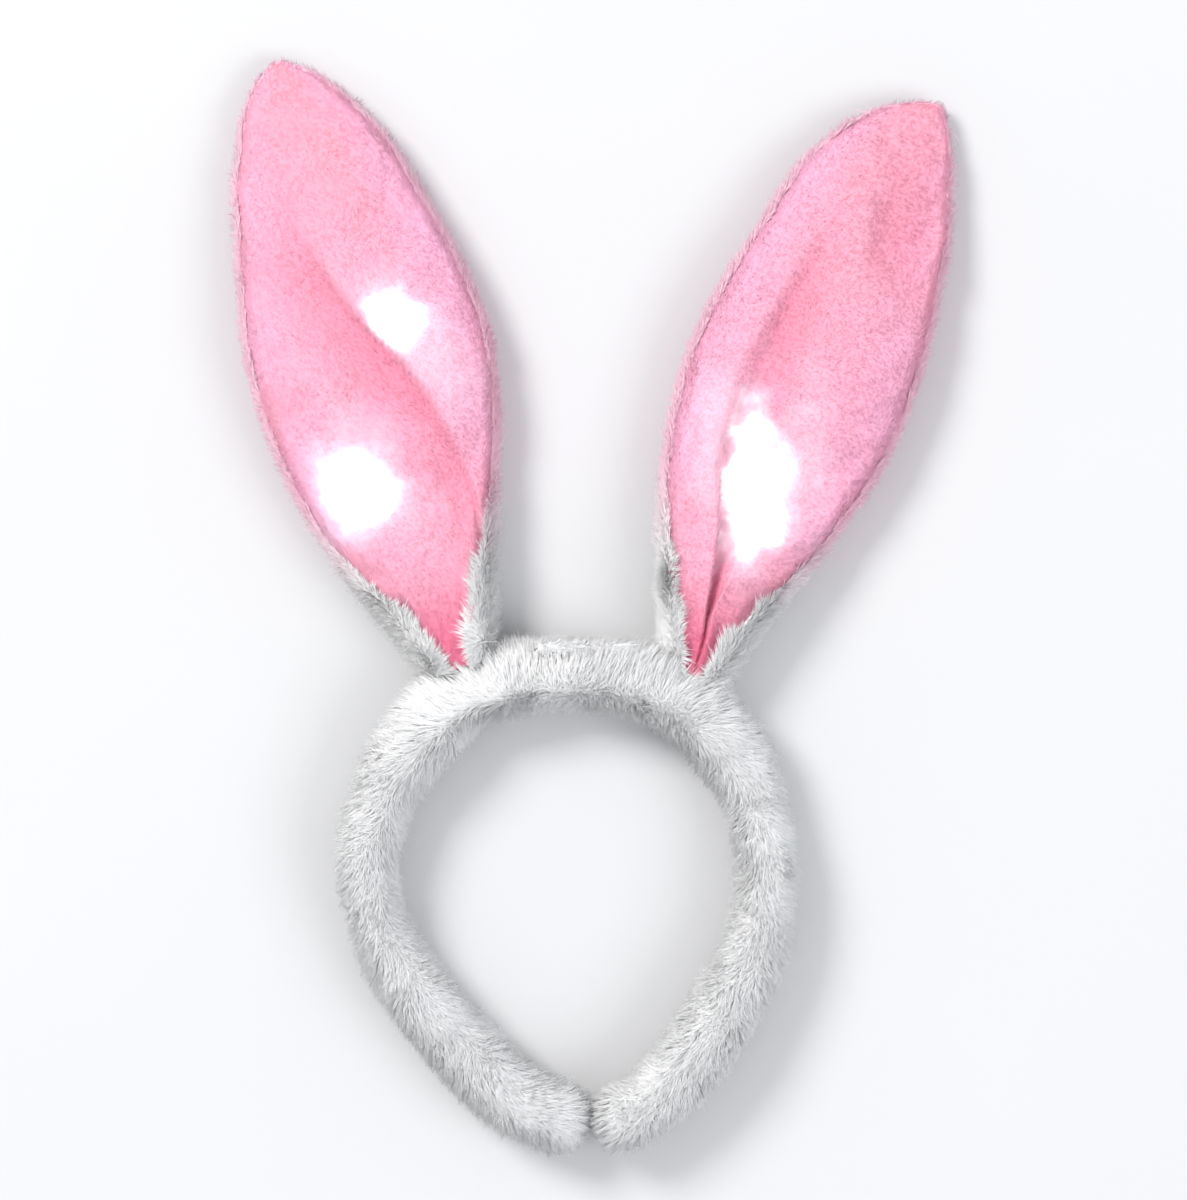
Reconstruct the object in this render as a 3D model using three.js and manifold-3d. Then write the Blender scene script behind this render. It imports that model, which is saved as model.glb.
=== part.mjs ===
// A light-up bunny ears headband, lying on its back: a padded plush band with a battery pad on its
// crown, and two plush ears, each a hollow pouch of a white back and a pink front panel that
// holds two small lamps.
// Millimetres. X runs across the head, Y runs from the band's ends to the ear tips, and Z points
// out of the front. The origin is at the centre of the bounding box's lowest face.

import * as THREE from "three";
import { mergeVertices } from "three/addons/utils/BufferGeometryUtils.js";
import Module from "manifold-3d";

// Band: sizes to the middle of its padding, and its section
const BAND_HALF_WIDTH = 66;
const CROWN_HEIGHT = 66;
const LEG_DROP = 79.3;
const BAND_THICKNESS = 19;
const BAND_DEPTH = 26;
const BAND_END_CAP = 9.2;
const BAND_SQUARING = 0.72;
const LEG_SWAY = 7.2;
const LEG_SWAY_POWER = 1.5;

// Battery pad on the crown
const PAD_LENGTH = 34;
const PAD_DEPTH = 20;
const PAD_RISE = 2.6;
const PAD_CORNER = 1.6;
const PAD_CENTRE_ACROSS = 6;

// Ears: the outline of the white back, and how far the pouch bulges in front of its rim
const EAR_LENGTH = 214;
const EAR_WIDTH = 83;
const EAR_FRONT_DEPTH = 13;
const EAR_ROOT_LENGTH = 16;
const EAR_TIP_START = 0.8;
const PLUSH_WALL = 3;
const PANEL_WALL = 1.8;
const PANEL_SUNK = 0.6;

// Lamps inside the ears
const LAMP_RADIUS = 7;
const LAMP_BODY = 4;
const LAMP_DOME = 2.5;

// Clearances
const SEAT_GAP = 0.32;
const SEAM_GAP = 0.52;

// How finely each surface is faceted
const BAND_STEPS = 54;
const BAND_SIDES = 18;
const CAP_RINGS = 4;
const EAR_ROWS = 24;
const EAR_ROW_BUNCHING = 1.3;
const BACK_COLUMNS = 14;
const PANEL_COLUMNS = 16;
const LAMP_SIDES = 16;
const DOME_STEPS = 3;

// The band's middle line from the crown to one end. "across" is a share of BAND_HALF_WIDTH,
// "along" a share of CROWN_HEIGHT above the widest place and of LEG_DROP below it, and "thick"
// a share of BAND_THICKNESS.
const BAND_ROUTE = [
  { across: 0, along: 1, thick: 1.12 },
  { across: 0.27, along: 0.985, thick: 1.16 },
  { across: 0.52, along: 0.91, thick: 1.26 },
  { across: 0.755, along: 0.69, thick: 1.2 },
  { across: 0.925, along: 0.41, thick: 1.02 },
  { across: 1, along: 0.06, thick: 0.95 },
  { across: 0.921, along: -0.303, thick: 0.99 },
  { across: 0.75, along: -0.545, thick: 1.1 },
  { across: 0.524, along: -0.784, thick: 1.18 },
  { across: 0.33, along: -0.933, thick: 1.2 },
  { across: 0.159, along: -1, thick: 1.13 },
];

// The ears' cross-sections. "along" is a share of the ear's length, "rim" of half BAND_DEPTH,
// "back" of the rim's height, "front" of EAR_FRONT_DEPTH, and "panel" is the part of the half
// width that the pink front covers.
const EAR_SECTIONS = [
  { along: -0.08, rim: 1, back: 0.84, front: 0.82, panel: 0.3 },
  { along: 0, rim: 1, back: 0.84, front: 0.84, panel: 0.4 },
  { along: 0.04, rim: 1, back: 0.87, front: 0.87, panel: 0.52 },
  { along: 0.09, rim: 1, back: 0.92, front: 0.92, panel: 0.68 },
  { along: 0.14, rim: 1, back: 0.96, front: 0.96, panel: 0.8 },
  { along: 0.21, rim: 1, back: 1, front: 1, panel: 0.885 },
  { along: 0.3, rim: 1, back: 1, front: 1, panel: 0.925 },
  { along: 0.5, rim: 1, back: 1, front: 0.98, panel: 0.945 },
  { along: 0.6, rim: 0.98, back: 1, front: 0.93, panel: 0.945 },
  { along: 0.75, rim: 0.86, back: 1, front: 0.82, panel: 0.94 },
  { along: 0.9, rim: 0.64, back: 1, front: 0.7, panel: 0.92 },
  { along: 0.95, rim: 0.56, back: 1, front: 0.64, panel: 0.86 },
  { along: 1, rim: 0.5, back: 1, front: 0.6, panel: 0.12 },
];

// How each ear stands: "seat" is its place along the band as a share of BAND_HALF_WIDTH, "lean"
// its angle from +Y in degrees and "reach" its length as a share of EAR_LENGTH. In "outline",
// "left" and "right" are shares of half EAR_WIDTH; past EAR_TIP_START they also close in to the
// tip. In "crease", "across" is its place as a share of the half width, "depth" a share of
// EAR_FRONT_DEPTH, and "left" and "right" how wide its two flanks are. Lamps are placed by the
// same shares along and across.
const EARS = [
  {
    name: "left",
    side: -1,
    seat: 0.49,
    lean: 16.7,
    reach: 1,
    outline: [
      { along: -0.08, left: 0.31, right: 0.33 },
      { along: 0, left: 0.29, right: 0.33 },
      { along: 0.093, left: 0.43, right: 0.43 },
      { along: 0.187, left: 0.645, right: 0.6 },
      { along: 0.28, left: 0.81, right: 0.77 },
      { along: 0.373, left: 0.904, right: 0.933 },
      { along: 0.48, left: 0.945, right: 1.03 },
      { along: 0.58, left: 0.913, right: 1 },
      { along: 0.69, left: 0.8, right: 0.895 },
      { along: 0.8, left: 0.67, right: 0.76 },
      { along: 0.88, left: 0.61, right: 0.69 },
      { along: 1, left: 0.63, right: 0.63 },
    ],
    crease: [
      { along: 0.12, across: 0.72, depth: 0, left: 0.2, right: 0.14 },
      { along: 0.24, across: 0.66, depth: 0.16, left: 0.22, right: 0.14 },
      { along: 0.36, across: 0.5, depth: 0.3, left: 0.28, right: 0.15 },
      { along: 0.48, across: 0.24, depth: 0.34, left: 0.3, right: 0.16 },
      { along: 0.62, across: -0.1, depth: 0.28, left: 0.3, right: 0.18 },
      { along: 0.82, across: -0.4, depth: 0, left: 0.3, right: 0.18 },
    ],
    lamps: [
      { name: "near", along: 0.32, across: -0.46 },
      { name: "far", along: 0.56, across: 0.38 },
    ],
  },
  {
    name: "right",
    side: 1,
    seat: 0.54,
    lean: -23.6,
    reach: 0.98,
    outline: [
      { along: -0.08, left: 0.3, right: 0.3 },
      { along: 0, left: 0.29, right: 0.28 },
      { along: 0.115, left: 0.53, right: 0.36 },
      { along: 0.24, left: 0.808, right: 0.55 },
      { along: 0.351, left: 0.98, right: 0.692 },
      { along: 0.477, left: 1.075, right: 0.765 },
      { along: 0.57, left: 1.06, right: 0.745 },
      { along: 0.685, left: 0.98, right: 0.65 },
      { along: 0.8, left: 0.89, right: 0.525 },
      { along: 0.885, left: 0.86, right: 0.435 },
      { along: 1, left: 0.93, right: 0.39 },
    ],
    crease: [
      { along: 0, across: 0.05, depth: 0.14, left: 0.2, right: 0.2 },
      { along: 0.1, across: 0, depth: 0.36, left: 0.16, right: 0.2 },
      { along: 0.2, across: -0.12, depth: 0.5, left: 0.14, right: 0.28 },
      { along: 0.3, across: -0.27, depth: 0.54, left: 0.14, right: 0.42 },
      { along: 0.4, across: -0.34, depth: 0.42, left: 0.16, right: 0.42 },
      { along: 0.6, across: -0.36, depth: 0.24, left: 0.2, right: 0.3 },
      { along: 0.8, across: -0.3, depth: 0, left: 0.2, right: 0.3 },
    ],
    lamps: [
      { name: "near", along: 0.23, across: -0.08 },
      { name: "far", along: 0.4, across: -0.34 },
    ],
  },
];

const PLUSH_WHITE = { color: 0xe9e8e6, roughness: 0.95, metalness: 0 };
const PANEL_PINK = { color: 0xf7aac4, roughness: 0.8, metalness: 0 };
const LAMP_FROST = { color: 0xfff4f0, roughness: 0.35, metalness: 0 };

const wasm = await Module();
wasm.setup();

// A smooth curve through one column of a table, held flat past its first and last rows.
function column(table, name) {
  const last = table.length - 1;
  return (along) => {
    if (along <= table[0].along) return table[0][name];
    if (along >= table[last].along) return table[last][name];
    const i = table.findIndex((row) => row.along > along) - 1;
    const [a, b] = [table[i], table[i + 1]];
    const before = table[Math.max(i - 1, 0)];
    const after = table[Math.min(i + 2, last)];
    const span = b.along - a.along;
    const slopeIn = (span * (b[name] - before[name])) / (b.along - before.along);
    const slopeOut = (span * (after[name] - a[name])) / (after.along - a.along);
    const t = (along - a.along) / span;
    const [t2, t3] = [t * t, t * t * t];
    return (
      a[name] * (2 * t3 - 3 * t2 + 1) +
      slopeIn * (t3 - 2 * t2 + t) +
      b[name] * (3 * t2 - 2 * t3) +
      slopeOut * (t3 - t2)
    );
  };
}

// A closed geometry from loose triangles, given as corner points, with flat ones left out.
function geometryOf(triangles) {
  const position = new Float32Array(triangles.length * 9);
  triangles.forEach((corners, i) =>
    corners.forEach((point, k) => point.toArray(position, i * 9 + k * 3)),
  );
  const loose = new THREE.BufferGeometry();
  loose.setAttribute("position", new THREE.BufferAttribute(position, 3));
  const merged = mergeVertices(loose, 1e-3);
  const index = merged.index.array;
  const kept = [];
  for (let i = 0; i < index.length; i += 3) {
    const [a, b, c] = [index[i], index[i + 1], index[i + 2]];
    if (a !== b && b !== c && c !== a) kept.push(a, b, c);
  }
  merged.setIndex(kept);
  return merged;
}

// Two triangles for each cell between two rows of points, facing out when rows climb and
// columns run anticlockwise as seen from above.
function stitch(triangles, rowA, rowB) {
  for (let j = 0; j + 1 < rowA.length; j++) {
    triangles.push([rowA[j], rowA[j + 1], rowB[j + 1]]);
    triangles.push([rowA[j], rowB[j + 1], rowB[j]]);
  }
}

// A wall between an outer and an inner grid of points, closed along its four edges.
function wallOf(outer, inner) {
  const triangles = [];
  const last = outer.length - 1;
  const edge = outer[0].length - 1;
  for (let i = 0; i < last; i++) {
    stitch(triangles, outer[i], outer[i + 1]);
    stitch(triangles, [...inner[i]].reverse(), [...inner[i + 1]].reverse());
    stitch(triangles, [inner[i][0], outer[i][0]], [inner[i + 1][0], outer[i + 1][0]]);
    stitch(
      triangles,
      [outer[i][edge], inner[i][edge]],
      [outer[i + 1][edge], inner[i + 1][edge]],
    );
  }
  stitch(triangles, inner[0], outer[0]);
  stitch(triangles, outer[last], inner[last]);
  return geometryOf(triangles);
}

function manifoldOf(geometry) {
  const merged = mergeVertices(geometry, 1e-3);
  return new wasm.Manifold(
    new wasm.Mesh({
      numProp: 3,
      vertProperties: merged.attributes.position.array,
      triVerts: new Uint32Array(merged.index.array),
    }),
  );
}

function geometryFrom(manifold) {
  const mesh = manifold.getMesh();
  const geometry = new THREE.BufferGeometry();
  geometry.setAttribute("position", new THREE.BufferAttribute(mesh.vertProperties, 3));
  geometry.setIndex(new THREE.BufferAttribute(mesh.triVerts, 1));
  return geometry;
}

// A power that keeps the sign, which squares off an oval.
function signedPower(value, power) {
  return Math.sign(value) * Math.abs(value) ** power;
}

// The band's middle line, from the left end over the crown to the right end.
function bandRoute() {
  const point = (row, side) => {
    const below = Math.max(-row.along, 0);
    const sway = LEG_SWAY * below ** LEG_SWAY_POWER;
    const reach = row.along > 0 ? CROWN_HEIGHT : LEG_DROP;
    return new THREE.Vector3(
      side * row.across * BAND_HALF_WIDTH + sway,
      row.along * reach,
      BAND_DEPTH / 2,
    );
  };
  const left = BAND_ROUTE.map((row) => point(row, -1)).reverse();
  const right = BAND_ROUTE.slice(1).map((row) => point(row, 1));
  return new THREE.CatmullRomCurve3([...left, ...right], false, "centripetal");
}

const route = bandRoute();

// The band's thickness at a share of the route's length, from the rows' places on the curve.
function bandThickness(share) {
  const table = BAND_ROUTE.map((row, i) => ({
    along: i / (BAND_ROUTE.length - 1),
    thick: row.thick,
  }));
  return BAND_THICKNESS * column(table, "thick")(Math.abs(2 * share - 1));
}

// One ring of the band's section: an oval with a squared-off front and back. A flat strip runs
// along the back, where it rests, because BAND_SIDES is two more than a multiple of four.
function bandRing(centre, outward, thickness, scale, grow) {
  const ring = [];
  for (let k = 0; k <= BAND_SIDES; k++) {
    const angle = (2 * Math.PI * k) / BAND_SIDES;
    const radial = scale * signedPower(Math.cos(angle), BAND_SQUARING);
    const height = scale * signedPower(Math.sin(angle), BAND_SQUARING);
    const flat = Math.cos(Math.PI / BAND_SIDES) ** BAND_SQUARING;
    const point = centre.clone().addScaledVector(outward, radial * (thickness / 2 + grow));
    point.z += (height * (BAND_DEPTH / 2 + grow)) / flat;
    ring.push(point);
  }
  return ring;
}

// The band as one padded solid with round ends, grown all round by "grow".
function bandGeometry(grow = 0) {
  const rings = [];
  const addCap = (share, direction) => {
    const centre = route.getPointAt(share);
    const tangent = route.getTangentAt(share);
    const outward = new THREE.Vector3(-tangent.y, tangent.x, 0);
    const cap = [];
    for (let i = 1; i <= CAP_RINGS; i++) {
      const turn = (Math.PI / 2) * (i / CAP_RINGS);
      const reach = direction * (BAND_END_CAP + grow) * Math.sin(turn);
      const scale = Math.cos(turn) ** 0.8;
      const place = centre.clone().addScaledVector(tangent, reach);
      cap.push(bandRing(place, outward, bandThickness(share), scale, grow * scale));
    }
    return cap;
  };
  rings.push(...addCap(0, -1).reverse());
  for (let i = 0; i <= BAND_STEPS; i++) {
    const share = i / BAND_STEPS;
    const tangent = route.getTangentAt(share);
    const outward = new THREE.Vector3(-tangent.y, tangent.x, 0);
    rings.push(bandRing(route.getPointAt(share), outward, bandThickness(share), 1, grow));
  }
  rings.push(...addCap(1, 1));
  const triangles = [];
  for (let i = 0; i + 1 < rings.length; i++) stitch(triangles, rings[i], rings[i + 1]);
  return geometryOf(triangles);
}

// What the ears and the pad are cut by: the band with its seat gap, and all that lies inside
// the crown's middle line.
function seatCutter() {
  const crown = route.getSpacedPoints(BAND_STEPS).filter((point) => point.y > 0);
  const outline = new THREE.Shape(crown.map((point) => new THREE.Vector2(point.x, point.y)));
  const reach = 2 * BAND_DEPTH;
  const core = new THREE.ExtrudeGeometry(outline, { depth: 2 * reach, bevelEnabled: false });
  core.deleteAttribute("normal");
  core.deleteAttribute("uv");
  core.translate(0, 0, -reach);
  return manifoldOf(bandGeometry(SEAT_GAP)).add(manifoldOf(core));
}

// Where an ear is sewn on: its seat on the band's outer surface, and its two directions.
function earFrame(ear) {
  const target = ear.seat * BAND_HALF_WIDTH;
  const reached = (share) => ear.side * route.getPointAt(share).x >= target;
  let share = 0.5;
  while (!reached(share)) share += ear.side / 2000;
  const tangent = route.getTangentAt(share);
  const outward = new THREE.Vector3(-tangent.y, tangent.x, 0);
  const lean = THREE.MathUtils.degToRad(ear.lean);
  return {
    seat: route.getPointAt(share).addScaledVector(outward, bandThickness(share) / 2),
    up: new THREE.Vector3(-Math.sin(lean), Math.cos(lean), 0),
    across: new THREE.Vector3(Math.cos(lean), Math.sin(lean), 0),
  };
}

const section = {};
for (const name of ["rim", "back", "front", "panel"]) section[name] = column(EAR_SECTIONS, name);

// How far the outline has closed in towards the tip: 1 below EAR_TIP_START and 0 at the tip.
function tipShare(along) {
  const u = Math.max(0, (along - EAR_TIP_START) / (1 - EAR_TIP_START));
  return Math.max(0, 1 - Math.min(u, 1) ** 1.6) ** 0.6;
}

// The half width, rim height and depths of an ear at a share of its length.
function earSizes(ear, along) {
  const tip = tipShare(along);
  const rim = (section.rim(along) * BAND_DEPTH) / 2;
  const left = column(ear.outline, "left")(along);
  const right = column(ear.outline, "right")(along);
  return {
    half: ((left + right) * EAR_WIDTH * tip) / 4,
    swing: ((right - left) * EAR_WIDTH * tip) / 4,
    rim,
    back: rim * Math.min(section.back(along), 1) * tip ** 0.6,
    front: EAR_FRONT_DEPTH * section.front(along) * tip ** 0.8,
    panel: section.panel(along),
  };
}

// How deep the crease of an ear's front is, at a share of the length and of the half width.
function creaseDepth(ear, along, across) {
  const depth = Math.max(0, column(ear.crease, "depth")(along));
  const past = across - column(ear.crease, "across")(along);
  const off = past / column(ear.crease, past < 0 ? "left" : "right")(along);
  return EAR_FRONT_DEPTH * depth * Math.exp(-off * off);
}

// A point of an ear's pouch: "angle" runs round the section from the left rim over the front,
// and "inset" is how far inside the outer surface it lies.
function earPoint(ear, frame, along, angle, inset) {
  const sizes = earSizes(ear, along);
  const wall = (size) => size - inset * Math.min(1, size / (2 * PLUSH_WALL));
  const across = -Math.cos(angle);
  const rise = Math.sin(angle);
  const z =
    rise >= 0
      ? wall(sizes.front) * rise ** 0.8 - creaseDepth(ear, along, across) * rise
      : -wall(sizes.back) * (-rise) ** 0.7;
  const length = EAR_LENGTH * ear.reach * along - inset * Math.max(along, 0);
  const point = frame.seat.clone().addScaledVector(frame.up, length);
  point.addScaledVector(frame.across, wall(sizes.half) * across + sizes.swing);
  point.z = sizes.rim + z;
  return point;
}

// Rows of an ear from its root to its tip, closer together towards the tip.
function earRows() {
  const start = -EAR_ROOT_LENGTH / EAR_LENGTH;
  const rows = [];
  for (let i = 0; i <= EAR_ROWS; i++)
    rows.push(start + (1 - start) * (1 - (1 - i / EAR_ROWS) ** EAR_ROW_BUNCHING));
  return rows;
}

// The angle of the lip where the white back ends and the panel begins.
function lipAngle(along) {
  return Math.acos(Math.min(Math.max(section.panel(along), 0.02), 0.99));
}

// The white back of an ear: a plush wall that wraps round the rim to the front, cut to sit on
// the band.
function earBack(ear, frame, cutter) {
  const grid = (inset) =>
    earRows().map((along) => {
      const lip = lipAngle(along);
      const row = [];
      for (let j = 0; j <= BACK_COLUMNS; j++) {
        const angle = Math.PI - lip + ((Math.PI + 2 * lip) * j) / BACK_COLUMNS;
        row.push(earPoint(ear, frame, along, angle, inset));
      }
      return row;
    });
  const wall = wallOf(grid(0), grid(PLUSH_WALL));
  return geometryFrom(largest(manifoldOf(wall).subtract(cutter)));
}

// The pink front of an ear, inside the lips of its back.
function earPanel(ear, frame, cutter) {
  const grid = (inset) =>
    earRows().slice(0, -1).map((along) => {
      const sizes = earSizes(ear, along);
      const gap = SEAM_GAP / Math.max(sizes.front, sizes.half * 0.3, 1);
      const lip = Math.min(lipAngle(along) + gap, Math.PI / 2 - 0.02);
      const row = [];
      for (let j = 0; j <= PANEL_COLUMNS; j++) {
        const angle = lip + ((Math.PI - 2 * lip) * j) / PANEL_COLUMNS;
        row.push(earPoint(ear, frame, along, angle, inset));
      }
      return row;
    });
  const wall = wallOf(grid(PANEL_SUNK), grid(PANEL_SUNK + PANEL_WALL));
  return geometryFrom(largest(manifoldOf(wall).subtract(cutter)));
}

// The largest body of a cut solid.
function largest(manifold) {
  return manifold.decompose().reduce((a, b) => (b.volume() > a.volume() ? b : a));
}

// A small domed lamp that lies on the inside of an ear's back.
function lampMesh(ear, frame, lamp) {
  const profile = [new THREE.Vector2(0, 0), new THREE.Vector2(LAMP_RADIUS, 0)];
  for (let i = 0; i <= DOME_STEPS; i++) {
    const turn = ((Math.PI / 2) * i) / DOME_STEPS;
    profile.push(
      new THREE.Vector2(LAMP_RADIUS * Math.cos(turn), LAMP_BODY + LAMP_DOME * Math.sin(turn)),
    );
  }
  profile[profile.length - 1].x = 0;
  const geometry = new THREE.LatheGeometry(profile, LAMP_SIDES);
  geometry.deleteAttribute("normal");
  geometry.deleteAttribute("uv");
  geometry.rotateX(Math.PI / 2);
  const mesh = meshOf(`${ear.name}_ear_lamp_${lamp.name}`, geometry, LAMP_FROST);
  const sizes = earSizes(ear, lamp.along);
  mesh.position.copy(frame.seat);
  mesh.position.addScaledVector(frame.up, EAR_LENGTH * ear.reach * lamp.along);
  mesh.position.addScaledVector(frame.across, sizes.half * lamp.across + sizes.swing);
  mesh.position.z = lampFloor(ear, frame, lamp) + SEAT_GAP;
  return mesh;
}

// The highest point of the ear's inside under a lamp's round base.
function lampFloor(ear, frame, lamp) {
  let floor = 0;
  for (let k = 0; k < LAMP_SIDES; k++) {
    const turn = (2 * Math.PI * k) / LAMP_SIDES;
    const along = lamp.along + (LAMP_RADIUS * Math.sin(turn)) / EAR_LENGTH;
    const half = earSizes(ear, lamp.along).half;
    const inside = earSizes(ear, along).half - PLUSH_WALL;
    const x = half * lamp.across + LAMP_RADIUS * Math.cos(turn);
    const angle = -Math.acos(Math.min(Math.max(-x / inside, -1), 1));
    floor = Math.max(floor, earPoint(ear, frame, along, angle, PLUSH_WALL).z);
  }
  return floor;
}

// The battery pad: a box with rounded edges, seated on the crown.
function padGeometry(cutter) {
  const seat = route.getPointAt(0.5).y;
  const top = seat + bandThickness(0.5) / 2 + PAD_RISE;
  const outline = new THREE.Shape();
  const half = PAD_LENGTH / 2 - PAD_CORNER;
  outline.moveTo(-half, -(top - seat) + PAD_CORNER);
  outline.lineTo(half, -(top - seat) + PAD_CORNER);
  outline.lineTo(half, -PAD_CORNER);
  outline.lineTo(-half, -PAD_CORNER);
  const box = new THREE.ExtrudeGeometry(outline, {
    depth: PAD_DEPTH - 2 * PAD_CORNER,
    bevelSize: PAD_CORNER,
    bevelThickness: PAD_CORNER,
    bevelSegments: 2,
  });
  box.deleteAttribute("normal");
  box.deleteAttribute("uv");
  box.translate(PAD_CENTRE_ACROSS, top, (BAND_DEPTH - PAD_DEPTH) / 2 + PAD_CORNER);
  return geometryFrom(largest(manifoldOf(box).subtract(cutter)));
}

function meshOf(name, geometry, finish) {
  const mesh = new THREE.Mesh(geometry, new THREE.MeshStandardMaterial(finish));
  mesh.name = name;
  return mesh;
}

// Moves the group so that the origin is at the centre of its lowest face.
function centred(group) {
  group.updateMatrixWorld(true);
  const box = new THREE.Box3().setFromObject(group, true);
  group.position.set(-(box.min.x + box.max.x) / 2, -(box.min.y + box.max.y) / 2, -box.min.z);
  return group;
}

function headband() {
  const group = new THREE.Group();
  const cutter = seatCutter();
  group.add(meshOf("band_sleeve", bandGeometry(), PLUSH_WHITE));
  group.add(meshOf("battery_pad", padGeometry(cutter), PLUSH_WHITE));
  for (const ear of EARS) {
    const frame = earFrame(ear);
    group.add(meshOf(`${ear.name}_ear_back`, earBack(ear, frame, cutter), PLUSH_WHITE));
    group.add(meshOf(`${ear.name}_ear_panel`, earPanel(ear, frame, cutter), PANEL_PINK));
    for (const lamp of ear.lamps) group.add(lampMesh(ear, frame, lamp));
  }
  return centred(group);
}

export default headband();
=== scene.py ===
"""The looks of a light-up bunny ears headband that lies on its back on a pale table.

A padded plush band carries a small battery pad on its crown and two tall ears. Each ear is a
pouch with a white plush back and a pink velour front, lit from inside by lamps. Sizes are in
metres, with X across the head, Y from the band's ends to the ear tips and Z out of the front.
"""

import logging
import math
from collections.abc import Callable
from dataclasses import dataclass, field
from enum import Enum
from typing import NamedTuple

import bpy
import numpy as np
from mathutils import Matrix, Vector
from mathutils.kdtree import KDTree

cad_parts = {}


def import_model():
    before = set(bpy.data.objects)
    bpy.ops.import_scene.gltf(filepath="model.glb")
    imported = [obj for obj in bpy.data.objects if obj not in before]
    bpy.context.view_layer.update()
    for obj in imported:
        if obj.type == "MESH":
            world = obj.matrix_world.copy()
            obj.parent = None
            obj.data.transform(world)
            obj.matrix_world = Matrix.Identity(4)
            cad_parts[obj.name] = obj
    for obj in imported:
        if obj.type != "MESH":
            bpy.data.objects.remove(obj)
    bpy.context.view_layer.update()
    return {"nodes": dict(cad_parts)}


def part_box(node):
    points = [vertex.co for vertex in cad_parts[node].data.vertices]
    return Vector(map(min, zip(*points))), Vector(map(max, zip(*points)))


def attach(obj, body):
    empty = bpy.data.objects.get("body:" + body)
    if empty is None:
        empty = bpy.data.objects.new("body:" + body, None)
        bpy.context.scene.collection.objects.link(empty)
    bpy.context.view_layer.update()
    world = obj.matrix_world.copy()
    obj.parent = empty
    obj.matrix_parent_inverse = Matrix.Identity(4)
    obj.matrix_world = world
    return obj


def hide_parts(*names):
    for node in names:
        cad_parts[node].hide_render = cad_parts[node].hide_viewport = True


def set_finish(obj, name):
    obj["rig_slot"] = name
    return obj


LOG = logging.getLogger("bunny_ears_headband")
Field = Callable[[np.ndarray], np.ndarray]
Colour = tuple[float, float, float]


# Helpers for curves and fields


def unit(vectors: np.ndarray) -> np.ndarray:
    """Scales each row to a length of one."""
    return vectors / np.maximum(np.linalg.norm(vectors, axis=-1, keepdims=True), 1e-12)


def ease(value: np.ndarray) -> np.ndarray:
    """A soft step from 0 to 1."""
    share = np.clip(value, 0.0, 1.0)
    return share * share * (3.0 - 2.0 * share)


def signed_power(value: np.ndarray, power: float) -> np.ndarray:
    """A power that keeps the sign, which squares off an oval."""
    return np.sign(value) * np.abs(value) ** power


class SmoothColumn:
    """A smooth curve through one column of a table, held flat past its ends."""

    def __init__(self, along: list[float], values: list[float]) -> None:
        """Keeps the rows and works out the slope at each.

        Args:
            along: where the rows are, rising.
            values: the column's value in each row.
        """
        self.along = np.array(along, float)
        self.values = np.array(values, float)
        inner = (self.values[2:] - self.values[:-2]) / (self.along[2:] - self.along[:-2])
        first = (self.values[1] - self.values[0]) / (self.along[1] - self.along[0])
        last = (self.values[-1] - self.values[-2]) / (self.along[-1] - self.along[-2])
        self.slopes = np.concatenate([[first], inner, [last]])

    @classmethod
    def of(cls, rows: tuple[NamedTuple, ...], name: str) -> "SmoothColumn":
        """The curve through one named column of a table whose rows say where they are."""
        return cls([row.along for row in rows], [getattr(row, name) for row in rows])

    def __call__(self, at: np.ndarray) -> np.ndarray:
        """The curve's value.

        Args:
            at: places along the table.

        Returns:
            One value for each place.
        """
        at = np.asarray(at, float)
        row = np.clip(np.searchsorted(self.along, at, side="right") - 1, 0, len(self.along) - 2)
        span = self.along[row + 1] - self.along[row]
        t = np.clip((at - self.along[row]) / span, 0.0, 1.0)
        t2, t3 = t * t, t * t * t
        return (
            self.values[row] * (2 * t3 - 3 * t2 + 1)
            + span * self.slopes[row] * (t3 - 2 * t2 + t)
            + self.values[row + 1] * (3 * t2 - 2 * t3)
            + span * self.slopes[row + 1] * (t3 - t2)
        )


class SoftNoise:
    """A smooth seeded field of dents and swells, from a few waves in mixed directions."""

    def __init__(self, seed: int, size: float, waves: int = 16) -> None:
        """Picks the waves.

        Args:
            seed: what the picks start from.
            size: about how far apart the swells are.
            waves: how many waves are mixed.
        """
        rng = np.random.default_rng(seed)
        turns = 2 * math.pi / (size * rng.uniform(0.7, 1.7, waves))
        self.pitch = unit(rng.normal(size=(waves, 3))) * turns[:, None]
        self.phase = rng.uniform(0, 2 * math.pi, waves)

    def __call__(self, points: np.ndarray) -> np.ndarray:
        """The field's height at some points, mostly from -1 to 1."""
        return np.sin(points @ self.pitch.T + self.phase).sum(axis=1) / math.sqrt(len(self.phase))


# Helpers for meshes


def deselect_all() -> None:
    """Leaves nothing selected."""
    if bpy.context.object is not None and bpy.context.object.mode != "OBJECT":
        bpy.ops.object.mode_set(mode="OBJECT")
    bpy.ops.object.select_all(action="DESELECT")


def take_up(piece: bpy.types.Object) -> None:
    """Makes one piece the only selected and active one.

    Args:
        piece: the mesh object.
    """
    deselect_all()
    piece.select_set(True)
    bpy.context.view_layer.objects.active = piece


def points_of(piece: bpy.types.Object) -> np.ndarray:
    """The places of a piece's vertices, one row each.

    Args:
        piece: the mesh object.

    Returns:
        The places.
    """
    flat = np.zeros(len(piece.data.vertices) * 3)
    piece.data.vertices.foreach_get("co", flat)
    return flat.reshape(-1, 3)


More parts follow.
